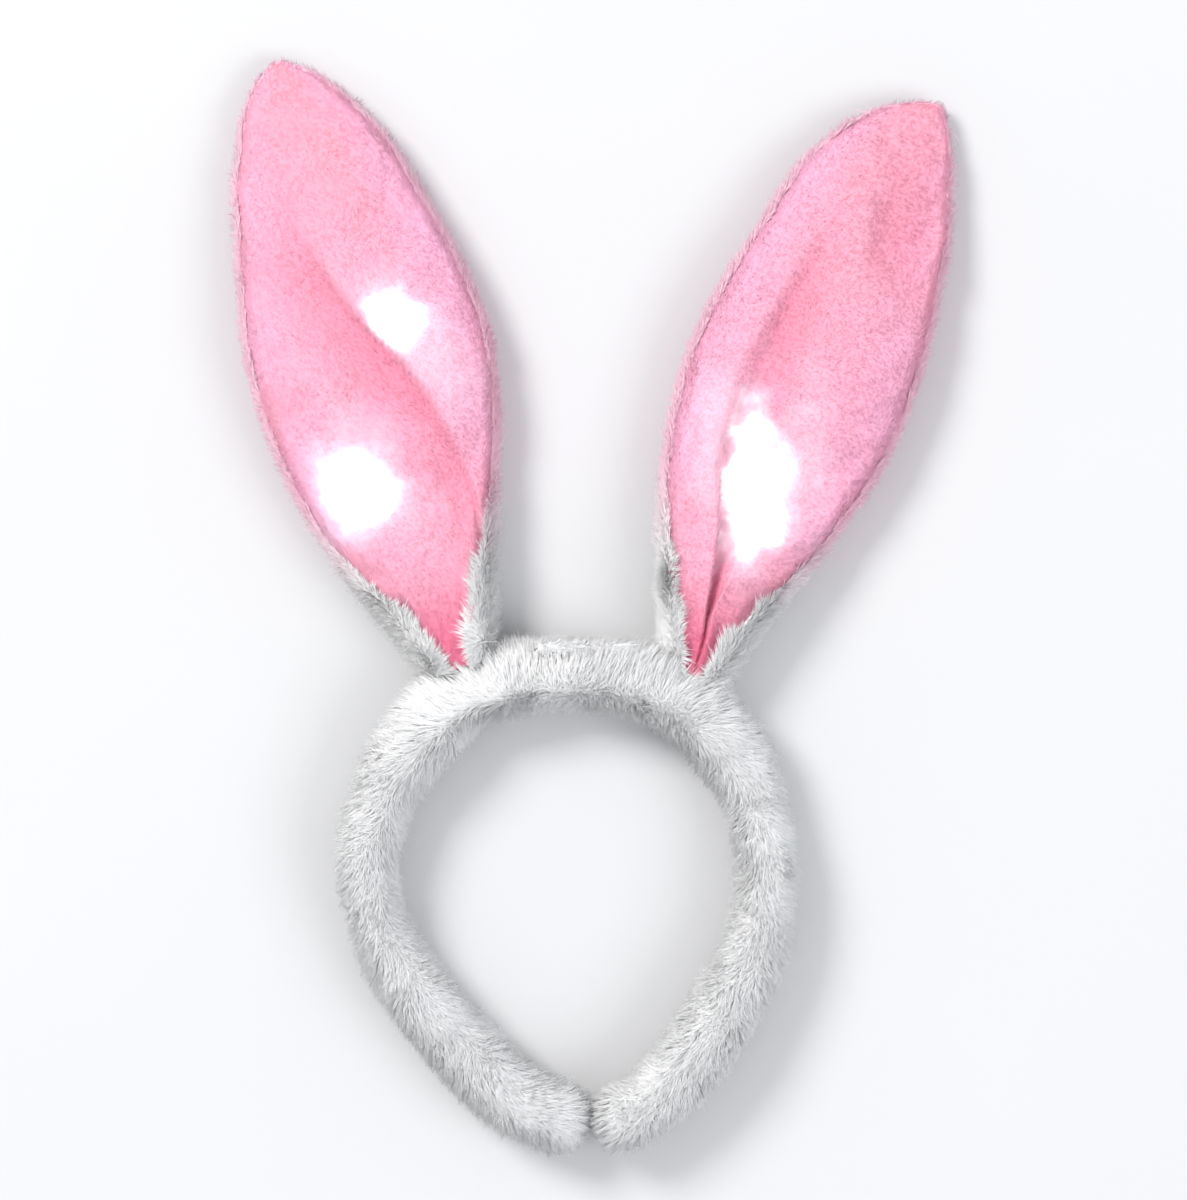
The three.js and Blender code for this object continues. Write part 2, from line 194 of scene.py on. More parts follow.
def normals_of(piece: bpy.types.Object) -> np.ndarray:
    """The directions of a piece's surface at its vertices, one row each.

    Args:
        piece: the mesh object.

    Returns:
        The unit directions.
    """
    flat = np.zeros(len(piece.data.vertices) * 3, np.float32)
    piece.data.vertex_normals.foreach_get("vector", flat)
    return flat.reshape(-1, 3).astype(float)


def move_points(piece: bpy.types.Object, points: np.ndarray) -> None:
    """Puts a piece's vertices in new places.

    Args:
        piece: the mesh object.
        points: the new places, one row each.
    """
    piece.data.vertices.foreach_set("co", points.ravel())
    piece.data.update()


def mark_points(piece: bpy.types.Object, name: str, values: np.ndarray) -> None:
    """Writes one number on each vertex, for the materials to read.

    Args:
        piece: the mesh object.
        name: the attribute's name.
        values: a number for each vertex.
    """
    layer = piece.data.attributes.get(name) or piece.data.attributes.new(name, "FLOAT", "POINT")
    layer.data.foreach_set("value", values.astype(np.float32))


def apply_modifier(piece: bpy.types.Object, kind: str, **settings: object) -> None:
    """Adds a modifier with its settings and applies it.

    Args:
        piece: the mesh object.
        kind: the modifier's type.
        settings: its settings by name.
    """
    take_up(piece)
    modifier = piece.modifiers.new(kind.title(), kind)
    for name, value in settings.items():
        setattr(modifier, name, value)
    bpy.ops.object.modifier_apply(modifier=modifier.name)


def cut_cloth(name: str, columns: int, rows: int) -> bpy.types.Object:
    """Lays out a flat piece of cloth, one unit a side, to be shaped.

    Args:
        name: the piece's name.
        columns: how many faces it has along X.
        rows: how many faces it has along Y.

    Returns:
        The new mesh object.
    """
    deselect_all()
    bpy.ops.mesh.primitive_grid_add(x_subdivisions=columns, y_subdivisions=rows, size=1.0)
    piece = bpy.context.object
    piece.name = name
    piece.data.name = name
    return piece


def close_seams(piece: bpy.types.Object, distance: float = 2e-5) -> None:
    """Merges vertices that meet, and turns all faces outwards.

    Args:
        piece: the mesh object.
        distance: how near vertices are that meet.
    """
    take_up(piece)
    bpy.ops.object.mode_set(mode="EDIT")
    bpy.ops.mesh.select_all(action="SELECT")
    bpy.ops.mesh.remove_doubles(threshold=distance)
    bpy.ops.mesh.normals_make_consistent(inside=False)
    bpy.ops.object.mode_set(mode="OBJECT")


@dataclass(frozen=True)
class Padding:
    """How a cloth is pressed out by what fills it.

    "looseness" is how much larger the cloth is cut than its shape, and "cap" how far any
    place may move.
    """

    pressure: float
    looseness: float
    cap: float
    frames: int = 20


def swell_cloth(piece: bpy.types.Object, padding: Padding, seam: str = "") -> None:
    """Lets a cloth swell over its filling, and keeps the shape that it takes.

    Args:
        piece: the mesh object.
        padding: how hard it is pressed and how far it may move.
        seam: the vertex group that is sewn down, if there is one.
    """
    take_up(piece)
    before = points_of(piece)
    cloth = piece.modifiers.new("Padding", "CLOTH")
    cloth.settings.quality = 6
    cloth.settings.use_pressure = True
    cloth.settings.uniform_pressure_force = padding.pressure
    cloth.settings.effector_weights.gravity = 0.0
    cloth.settings.shrink_min = -padding.looseness
    cloth.settings.vertex_group_mass = seam
    cloth.point_cache.frame_start = 1
    cloth.point_cache.frame_end = padding.frames
    scene = bpy.context.scene
    for moment in range(1, padding.frames + 1):
        scene.frame_set(moment)
    shaped = piece.evaluated_get(bpy.context.evaluated_depsgraph_get())
    after = points_of(shaped)
    piece.modifiers.remove(cloth)
    scene.frame_set(1)
    shift = after - before
    far = np.linalg.norm(shift, axis=1, keepdims=True)
    shift = shift * np.tanh(far / padding.cap) * padding.cap / np.maximum(far, 1e-9)
    LOG.info("%s: swelled by %.2f mm at most", piece.name, 1000 * np.linalg.norm(shift, axis=1).max())
    move_points(piece, before + shift)


def wear(piece: bpy.types.Object, material: bpy.types.Material) -> None:
    """Gives a piece one material and smooth shading.

    Args:
        piece: the mesh object.
        material: what it wears.
    """
    piece.data.materials.clear()
    piece.data.materials.append(material)
    piece.data.shade_smooth()


# The band


class RouteRow(NamedTuple):
    """One place on the band's middle line, from the crown to an end."""

    across: float
    along: float
    thick: float


@dataclass
class BandRoute:
    """The middle line of the padded band, and its section.

    In the rows, "across" is a share of half_width, "along" a share of crown_height above the
    widest place and of leg_drop below it, and "thick" a share of thickness.
    """

    half_width: float = 0.066
    crown_height: float = 0.066
    leg_drop: float = 0.0793
    thickness: float = 0.019
    depth: float = 0.026
    end_cap: float = 0.0092
    leg_sway: float = 0.0072
    sway_power: float = 1.5
    squaring: float = 0.72
    rows: tuple[RouteRow, ...] = (
        RouteRow(0, 1, 1.12),
        RouteRow(0.27, 0.985, 1.16),
        RouteRow(0.52, 0.91, 1.26),
        RouteRow(0.755, 0.69, 1.2),
        RouteRow(0.925, 0.41, 1.02),
        RouteRow(1, 0.06, 0.95),
        RouteRow(0.921, -0.303, 0.99),
        RouteRow(0.75, -0.545, 1.1),
        RouteRow(0.524, -0.784, 1.18),
        RouteRow(0.33, -0.933, 1.2),
        RouteRow(0.159, -1, 1.13),
    )
    origin: np.ndarray = field(default_factory=lambda: np.zeros(3))

    def __post_init__(self) -> None:
        """Lays the middle line and measures along it."""
        left = [self._place(row, -1) for row in reversed(self.rows)]
        right = [self._place(row, 1) for row in self.rows[1:]]
        self.line = self._curve(np.array(left + right))
        steps = np.linalg.norm(np.diff(self.line, axis=0), axis=1)
        self.shares = np.concatenate([[0.0], np.cumsum(steps)])
        self.length = float(self.shares[-1])
        self.shares /= self.length
        self.thick = SmoothColumn(
            [i / (len(self.rows) - 1) for i in range(len(self.rows))],
            [row.thick for row in self.rows],
        )

    def _place(self, row: RouteRow, side: int) -> list[float]:
        """The point that a row stands for on one side.

        Args:
            row: the row.
            side: -1 for the left side and 1 for the right.

        Returns:
            Its place in X and Y.
        """
        below = max(-row.along, 0.0)
        sway = self.leg_sway * below**self.sway_power
        reach = self.crown_height if row.along > 0 else self.leg_drop
        return [side * row.across * self.half_width + sway, row.along * reach]

    @staticmethod
    def _curve(points: np.ndarray, steps: int = 40) -> np.ndarray:
        """A smooth line through points, with its turns spread by their distances.

        Args:
            points: the points in order.
            steps: how many pieces each span has.

        Returns:
            The line's points.
        """
        padded = np.vstack([2 * points[0] - points[1], points, 2 * points[-1] - points[-2]])
        t = np.linspace(0, 1, steps, endpoint=False)[:, None]
        spans = []
        for a, b, c, d in zip(padded, padded[1:], padded[2:], padded[3:]):
            before, over, after = (math.sqrt(np.linalg.norm(q - p)) for p, q in ((a, b), (b, c), (c, d)))
            start = ((b - a) / before - (c - a) / (before + over) + (c - b) / over) * over
            end = ((c - b) / over - (d - b) / (over + after) + (d - c) / after) * over
            spans.append(
                b + start * t + (3 * (c - b) - 2 * start - end) * t**2 + (2 * (b - c) + start + end) * t**3
            )
        return np.vstack([*spans, points[-1:]])

    def at(self, share: np.ndarray) -> tuple[np.ndarray, np.ndarray]:
        """Points on the middle line and the outward direction there.

        Args:
            share: places as shares of the line's length.

        Returns:
            The points and the unit directions, both in X and Y.
        """
        place = np.column_stack([np.interp(share, self.shares, self.line[:, k]) for k in (0, 1)])
        near = 2e-3
        ahead = [np.interp(share + near, self.shares, self.line[:, k]) for k in (0, 1)]
        behind = [np.interp(share - near, self.shares, self.line[:, k]) for k in (0, 1)]
        tangent = unit(np.column_stack(ahead) - np.column_stack(behind))
        return place + self.origin[:2], np.column_stack([-tangent[:, 1], tangent[:, 0]])

    def thickness_at(self, share: np.ndarray) -> np.ndarray:
        """The band's thickness at places along it."""
        return self.thickness * self.thick(np.abs(2 * np.clip(share, 0, 1) - 1))

    def nearest(self, points: np.ndarray) -> tuple[np.ndarray, np.ndarray]:
        """How points lie beside the middle line.

        Args:
            points: points, one row each.

        Returns:
            The share of the nearest place, and how far out of the loop each point is.
        """
        grid = np.linspace(0, 1, 500)
        line, outward = self.at(grid)
        best = np.empty(len(points), int)
        for start in range(0, len(points), 20000):
            part = points[start : start + 20000, None, :2] - line[None]
            best[start : start + 20000] = np.argmin((part**2).sum(axis=2), axis=1)
        return grid[best], ((points[:, :2] - line[best]) * outward[best]).sum(axis=1)

    def clearance(self, points: np.ndarray, grow: float) -> np.ndarray:
        """Below zero for points in the grown band or inside the crown's middle line.

        Args:
            points: points, one row each.
            grow: how much the band is grown.

        Returns:
            A number for each point.
        """
        share, out = self.nearest(points)
        power = 2 / self.squaring
        radial = np.maximum(out, 0) / (self.thickness_at(share) / 2 + grow)
        height = np.abs(points[:, 2] - self.depth / 2) / (self.depth / 2 + grow)
        return radial**power + height**power - 1

    def skin(self, around: np.ndarray, along: np.ndarray, inset: float) -> np.ndarray:
        """Points of the band's surface, with round ends.

        Args:
            around: the turn round the section, from 0 to 1.
            along: the way along the band and its two ends, from 0 to 1.
            inset: how far inside the full size the points are.

        Returns:
            The points.
        """
        cap = self.end_cap / (self.length + 2 * self.end_cap)
        share = np.clip((along - cap) / (1 - 2 * cap), 0, 1)
        past = np.clip(np.maximum(cap - along, along - 1 + cap) / cap, 0, 1)
        turn = past * math.pi / 2
        place, outward = self.at(share)
        ahead = np.column_stack([outward[:, 1], -outward[:, 0]]) * np.sign(along - 0.5)[:, None]
        place = place + ahead * ((self.end_cap - inset) * np.sin(turn))[:, None]
        scale = np.cos(turn) ** 0.8
        angle = 2 * math.pi * around
        radial = scale * (self.thickness_at(share) / 2 - inset) * signed_power(np.cos(angle), self.squaring)
        height = scale * (self.depth / 2 - inset) * signed_power(np.sin(angle), self.squaring)
        flat = place + outward * radial[:, None]
        return np.column_stack([flat, self.depth / 2 + height])

    def settle(self, low: Vector, high: Vector) -> None:
        """Moves the line to where the band's own box says it lies.

        Args:
            low: the box's lowest corner.
            high: the box's highest corner.
        """
        turn, way = np.meshgrid(np.linspace(0, 1, 61), np.linspace(0, 1, 801))
        skin = self.skin(turn.ravel(), way.ravel(), 0.0)
        middle = (skin.min(axis=0) + skin.max(axis=0)) / 2
        self.origin = np.array((low + high) / 2) - middle
        self.origin[2] = 0.0


# Pile: the strands of plush and velour


@dataclass
class PileBed:
    """Where strands are rooted, the surface's direction there, and marks that they carry."""

    points: np.ndarray
    normals: np.ndarray
    marks: dict[str, np.ndarray]

    @classmethod
    def scatter(
        cls, piece: bpy.types.Object, count: int, weight: Field | None, marks: tuple[str, ...], seed: int
    ) -> "PileBed":
        """Roots strands evenly over a piece's surface.

        Args:
            piece: the mesh object.
            count: how many strands.
            weight: how thickly they stand at given points, or None for evenly.
            marks: names of vertex numbers that the strands carry.
            seed: what the picks start from.

        Returns:
            The bed.
        """
        rng = np.random.default_rng(seed)
        mesh = piece.data
        mesh.calc_loop_triangles()
        corners = np.zeros(len(mesh.loop_triangles) * 3, np.int32)
        mesh.loop_triangles.foreach_get("vertices", corners)
        corners = corners.reshape(-1, 3)
        points, normals = points_of(piece), normals_of(piece)
        a, b, c = (points[corners[:, k]] for k in range(3))
        share = np.linalg.norm(np.cross(b - a, c - a), axis=1)
        if weight is not None:
            share = share * weight((a + b + c) / 3)
        picked = rng.choice(len(corners), count, p=share / share.sum())
        u, v = rng.random(count), rng.random(count)
        over = u + v > 1
        u[over], v[over] = 1 - u[over], 1 - v[over]
        parts = np.column_stack([1 - u - v, u, v])[:, :, None]
        found = corners[picked]
        carried = {}
        for name in marks:
            values = np.zeros(len(points), np.float32)
            mesh.attributes[name].data.foreach_get("value", values)
            carried[name] = (values[found] * parts[:, :, 0]).sum(axis=1)
        return cls((points[found] * parts).sum(axis=1), unit((normals[found] * parts).sum(axis=1)), carried)


@dataclass(frozen=True)
class Pile:
    """How the strands of one cloth grow.

    A bed's "stretch" mark makes its strands longer or shorter by that share, and its "lay"
    mark makes them lean further.
    """

    length: float
    width: float
    lean: float
    clump: float
    gather: float
    uneven: float = 0.18
    swirl: float = 0.55
    wander: float = 0.3
    patch: float = 0.02
    soft: float = 0.5
    lowest: float = 0.0002
    seed: int = 7

    def grow(
        self, name: str, bed: PileBed, comb: Field, material: bpy.types.Material
    ) -> bpy.types.Object:
        """Makes one mesh of slender three-sided strands, gathered into small tufts.

        Args:
            name: the piece's name.
            bed: where the strands are rooted.
            comb: which way the cloth is brushed at given points.
            material: what the strands wear.

        Returns:
            The new mesh object.
        """
        rng = np.random.default_rng(self.seed)
        root, normal = bed.points, bed.normals
        tip = self._tips(bed, comb, rng)
        axis = unit(tip - root)
        side = unit(np.cross(axis, unit(normal + 0.6 * rng.normal(size=root.shape))))
        other = np.cross(axis, side)
        count = len(root)
        corners = np.empty((count, 4, 3))
        facing = np.empty((count, 4, 3))
        width = self.width * rng.uniform(0.75, 1.25, count)[:, None]
        for k in range(3):
            turn = 2 * math.pi * k / 3
            round_it = math.cos(turn) * side + math.sin(turn) * other
            corners[:, k] = root + round_it * width / 2 - axis * self.width
            facing[:, k] = unit(self.soft * normal + (1 - self.soft) * round_it)
        corners[:, 3] = tip
        facing[:, 3] = unit(self.soft * normal + (1 - self.soft) * (axis + 0.3 * side))
        corners[:, :, 2] = np.maximum(corners[:, :, 2], self.lowest)
        first = np.arange(count)[:, None, None] * 4
        faces = (first + np.array([[0, 1, 3], [1, 2, 3], [2, 0, 3]])[None]).reshape(-1, 3)
        piece = mesh_of(name, corners.reshape(-1, 3), faces)
        mark_points(piece, "tip", np.tile([0.0, 0.0, 0.0, 1.0], count))
        mark_points(piece, "tone", np.repeat(rng.random(count), 4))
        for mark, values in bed.marks.items():
            mark_points(piece, mark, np.repeat(values, 4))
        wear(piece, material)
        piece.data.normals_split_custom_set_from_vertices(facing.reshape(-1, 3).tolist())
        return piece

    def _tips(self, bed: PileBed, comb: Field, rng: np.random.Generator) -> np.ndarray:
        """Where each strand ends.

        Args:
            bed: where the strands are rooted.
            comb: which way the cloth is brushed.
            rng: the source of the small differences.

        Returns:
            The tips' places.
        """
        root, normal = bed.points, bed.normals
        swirls = [SoftNoise(self.seed * 10 + k, self.patch) for k in range(3)]
        brushed = comb(root) + self.swirl * np.column_stack([noise(root) for noise in swirls])
        brushed = brushed + self.wander * rng.normal(size=root.shape)
        along = unit(brushed - (brushed * normal).sum(axis=1, keepdims=True) * normal)
        tufts = SoftNoise(self.seed * 10 + 5, self.patch * 0.6)(root)
        lay = bed.marks.get("lay", 0.0)
        lean = np.clip(self.lean * (1 + 0.4 * tufts + 0.2 * rng.normal(size=len(root))) + lay, 0.05, 1.45)
        length = self.length * np.clip(1 + self.uneven * rng.normal(size=len(root)), 0.45, 1.6)
        length = length * (1 + 0.12 * tufts) * (1 + bed.marks.get("stretch", 0.0))
        way = normal * np.cos(lean)[:, None] + along * np.sin(lean)[:, None]
        tip = root + way * length[:, None]
        tree_points = rng.choice(len(root), self._tuft_count(root), replace=False)
        tree = KDTree(len(tree_points))
        for i, k in enumerate(tree_points):
            tree.insert(root[k], i)
        tree.balance()
        nearest = np.array([tree.find(point)[1] for point in root])
        middle = tree_points[nearest]
        apart = np.linalg.norm(root - root[middle], axis=1)
        pull = self.gather * rng.uniform(0.4, 1.0, len(root)) * np.clip(1.6 - apart / self.clump, 0, 1)
        tip = tip + (tip[middle] - tip) * pull[:, None]
        span = tip - root
        reach = np.linalg.norm(span, axis=1)
        return root + span * (np.clip(reach, 0.6 * length, 1.15 * length) / reach)[:, None]

    def _tuft_count(self, root: np.ndarray) -> int:
        """How many tufts the strands make, from the room that they take up."""
        cells = {tuple(cell) for cell in np.floor(root / (2 * self.clump)).astype(int)}
        return min(len(root) // 4, 4 * len(cells))


@dataclass(frozen=True)
class StrayHairs:
    """A few long curved hairs that stand out of the plush."""

    length: float = 0.0075
    width: float = 0.00024
    steps: int = 6
    curl: float = 0.7
    lowest: float = 0.0003
    seed: int = 91

    def grow(self, name: str, bed: PileBed, material: bpy.types.Material) -> bpy.types.Object:
        """Makes one mesh of curved hairs that taper to a point.

        Args:
            name: the piece's name.
            bed: where the hairs are rooted.
            material: what they wear.

        Returns:
            The new mesh object.
        """
        rng = np.random.default_rng(self.seed)
        root, normal = bed.points, bed.normals
        count, rings = len(root), self.steps + 1
        aside = unit(np.cross(normal, rng.normal(size=root.shape)))
        start = unit(normal + 0.8 * aside)
        bend = np.cross(normal, aside) * rng.choice((-1.0, 1.0), (count, 1)) - 0.4 * normal
        length = self.length * rng.uniform(0.6, 1.3, (count, 1, 1))
        share = np.linspace(0, 1, rings)[None, :, None]
        path = root[:, None] + length * (start[:, None] * share + self.curl * bend[:, None] * share**2)
        axis = unit(np.gradient(path, axis=1))
        side = unit(np.cross(axis, aside[:, None] + 0.3 * normal[:, None]))
        other = np.cross(axis, side)
        radius = self.width / 2 * (1 - 0.85 * share)
        turns = 2 * math.pi * np.arange(3) / 3
        rim = [path + radius * (math.cos(turn) * side + math.sin(turn) * other) for turn in turns]
        points = np.stack(rim, axis=2).reshape(-1, 3)
        points[:, 2] = np.maximum(points[:, 2], self.lowest)
        ring = np.arange(self.steps)[:, None] * 3
        k = np.arange(3)
        after = (k + 1) % 3
        lower = np.stack([ring + k, ring + after, ring + 3 + after], axis=2).reshape(-1, 3)
        upper = np.stack([ring + k, ring + 3 + after, ring + 3 + k], axis=2).reshape(-1, 3)
        last = 3 * self.steps
        ends = np.array([[last, last + 1, last + 2], [2, 1, 0]])
        one = np.vstack([lower, upper, ends])
        faces = (np.arange(count)[:, None, None] * 3 * rings + one[None]).reshape(-1, 3)
        piece = mesh_of(name, points, faces)
        mark_points(piece, "tip", np.ones(len(points)))
        mark_points(piece, "tone", np.zeros(len(points)))
        for mark, values in bed.marks.items():
            mark_points(piece, mark, np.repeat(values, 3 * rings))
        wear(piece, material)
        return piece


def mesh_of(name: str, points: np.ndarray, faces: np.ndarray) -> bpy.types.Object:
    """Makes a mesh object from arrays.

    Args:
        name: the object's name.
        points: vertex places, one row each.
        faces: three vertex numbers for each triangle.

    Returns:
        The new mesh object.
    """
    mesh = bpy.data.meshes.new(name)
    mesh.vertices.add(len(points))
    mesh.vertices.foreach_set("co", points.ravel())
    mesh.loops.add(faces.size)
    mesh.loops.foreach_set("vertex_index", faces.ravel().astype(np.int32))
    mesh.polygons.add(len(faces))
    mesh.polygons.foreach_set("loop_start", np.arange(0, faces.size, 3, dtype=np.int32))
    mesh.update(calc_edges=True)
    piece = bpy.data.objects.new(name, mesh)
    bpy.context.scene.collection.objects.link(piece)
    return piece


# Finishes


class NodeDesk:
    """Places and joins the nodes of one shader tree."""

    def __init__(self, tree: bpy.types.NodeTree) -> None:
        """Takes up a tree."""
        self.tree = tree

    def add(self, kind: str, **settings: object) -> bpy.types.Node:
        """Places a node.

        Args:
            kind: the node's type.
            settings: its settings by name.

        Returns:
            The new node.
        """
        node = self.tree.nodes.new(kind)
        for name, value in settings.items():
            setattr(node, name, value)
        return node

    def feed(self, socket: bpy.types.NodeSocket, source: object) -> None:
        """Joins an output to a socket, or sets the socket to a plain value.

        Args:
            socket: the socket that is fed.
            source: the output or the plain value.
        """
        if isinstance(source, bpy.types.NodeSocket):
            self.tree.links.new(source, socket)
        else:
            socket.default_value = source

    def sum_up(self, how: str, first: object, second: object = 0.0) -> bpy.types.NodeSocket:
        """One step of arithmetic on numbers.

        Args:
            how: the operation.
            first: the first number or output.
            second: the second one.

        Returns:
            The result's socket.
        """
        node = self.add("ShaderNodeMath", operation=how)
        self.feed(node.inputs[0], first)
        self.feed(node.inputs[1], second)
        return node.outputs[0]

    def offset(self, place: object, centre: object) -> bpy.types.NodeSocket:
        """The way from a centre to a place, as a vector.

        Args:
            place: the output that gives the place.
            centre: the output that gives the centre.

        Returns:
            The vector's socket.
        """
        node = self.add("ShaderNodeVectorMath", operation="SUBTRACT")
        self.feed(node.inputs[0], place)
        self.feed(node.inputs[1], centre)
        return node.outputs[0]

    def blend(
        self, factor: object, first: object, second: object, how: str = "MIX"
    ) -> bpy.types.NodeSocket:
        """Mixes two colours.

        Args:
            factor: how much of the second one.
            first: the first colour or output.
            second: the second one.
            how: the way of mixing.

        Returns:
            The mixed colour's socket.
        """
        node = self.add("ShaderNodeMix", data_type="RGBA", blend_type=how)
        self.feed(node.inputs[0], factor)
        self.feed(node.inputs[6], first)
        self.feed(node.inputs[7], second)
        return node.outputs[2]

    def ramp(
        self, factor: bpy.types.NodeSocket, stops: tuple[tuple[float, Colour], ...]
    ) -> bpy.types.NodeSocket:
        """A run of colours.

        Args:
            factor: the output that picks the place in the run.
            stops: places and their colours, in order.

        Returns:
            The colour's socket.
        """
        node = self.add("ShaderNodeValToRGB")
        elements = node.color_ramp.elements
        while len(elements) < len(stops):
            elements.new(0.5)
        for element, (place, colour) in zip(elements, stops):
            element.position = place
            element.color = (*colour, 1.0)
        self.feed(node.inputs[0], factor)
        return node.outputs[0]

    def mark(self, name: str) -> bpy.types.NodeSocket:
        """A number that is written on the piece's vertices."""
        return self.add("ShaderNodeAttribute", attribute_name=name).outputs["Fac"]

    def place(self) -> bpy.types.NodeSocket:
        """The place on the piece."""
        return self.add("ShaderNodeTexCoord").outputs["Object"]

    def roughen(
        self, shader: bpy.types.Node, height: bpy.types.NodeSocket, strength: float, distance: float
    ) -> None:
        """Bumps a shader's surface.

        Args:
            shader: the shader.
            height: the output that gives the bumps' height.
            strength: how strongly they show.
            distance: how high they stand.
        """
        bump = self.add("ShaderNodeBump")
        set_plain(bump, {"Strength": strength, "Distance": distance})
        self.feed(bump.inputs["Height"], height)
        self.feed(shader.inputs["Normal"], bump.outputs[0])

    def effect(self, group: bpy.types.NodeTree, **values: object) -> bpy.types.NodeSocket:
        """Places a shared effect with its own values.

        Args:
            group: the effect's node group.
            values: an output or plain value for each input, spaces written as underscores.

        Returns:
            The effect's first output.
        """
        node = self.add("ShaderNodeGroup", node_tree=group)
        for name, value in values.items():
            self.feed(node.inputs[name.replace("_", " ")], value)
        return node.outputs[0]


def set_plain(node: bpy.types.Node, values: dict[str, float]) -> None:
    """Sets plain numbers on a node's own sockets, by name.

    Args:
        node: the node.
        values: a number for each socket.
    """
    for name, value in values.items():
        node.inputs[name].default_value = value


def start_material(name: str) -> tuple[bpy.types.Material, NodeDesk, bpy.types.Node]:
    """Starts a material.

    Args:
        name: the material's name.

    Returns:
        The material, a desk on its tree, and its shader.
    """
    material = bpy.data.materials.new(name)
    material.use_nodes = True
    return material, NodeDesk(material.node_tree), material.node_tree.nodes["Principled BSDF"]


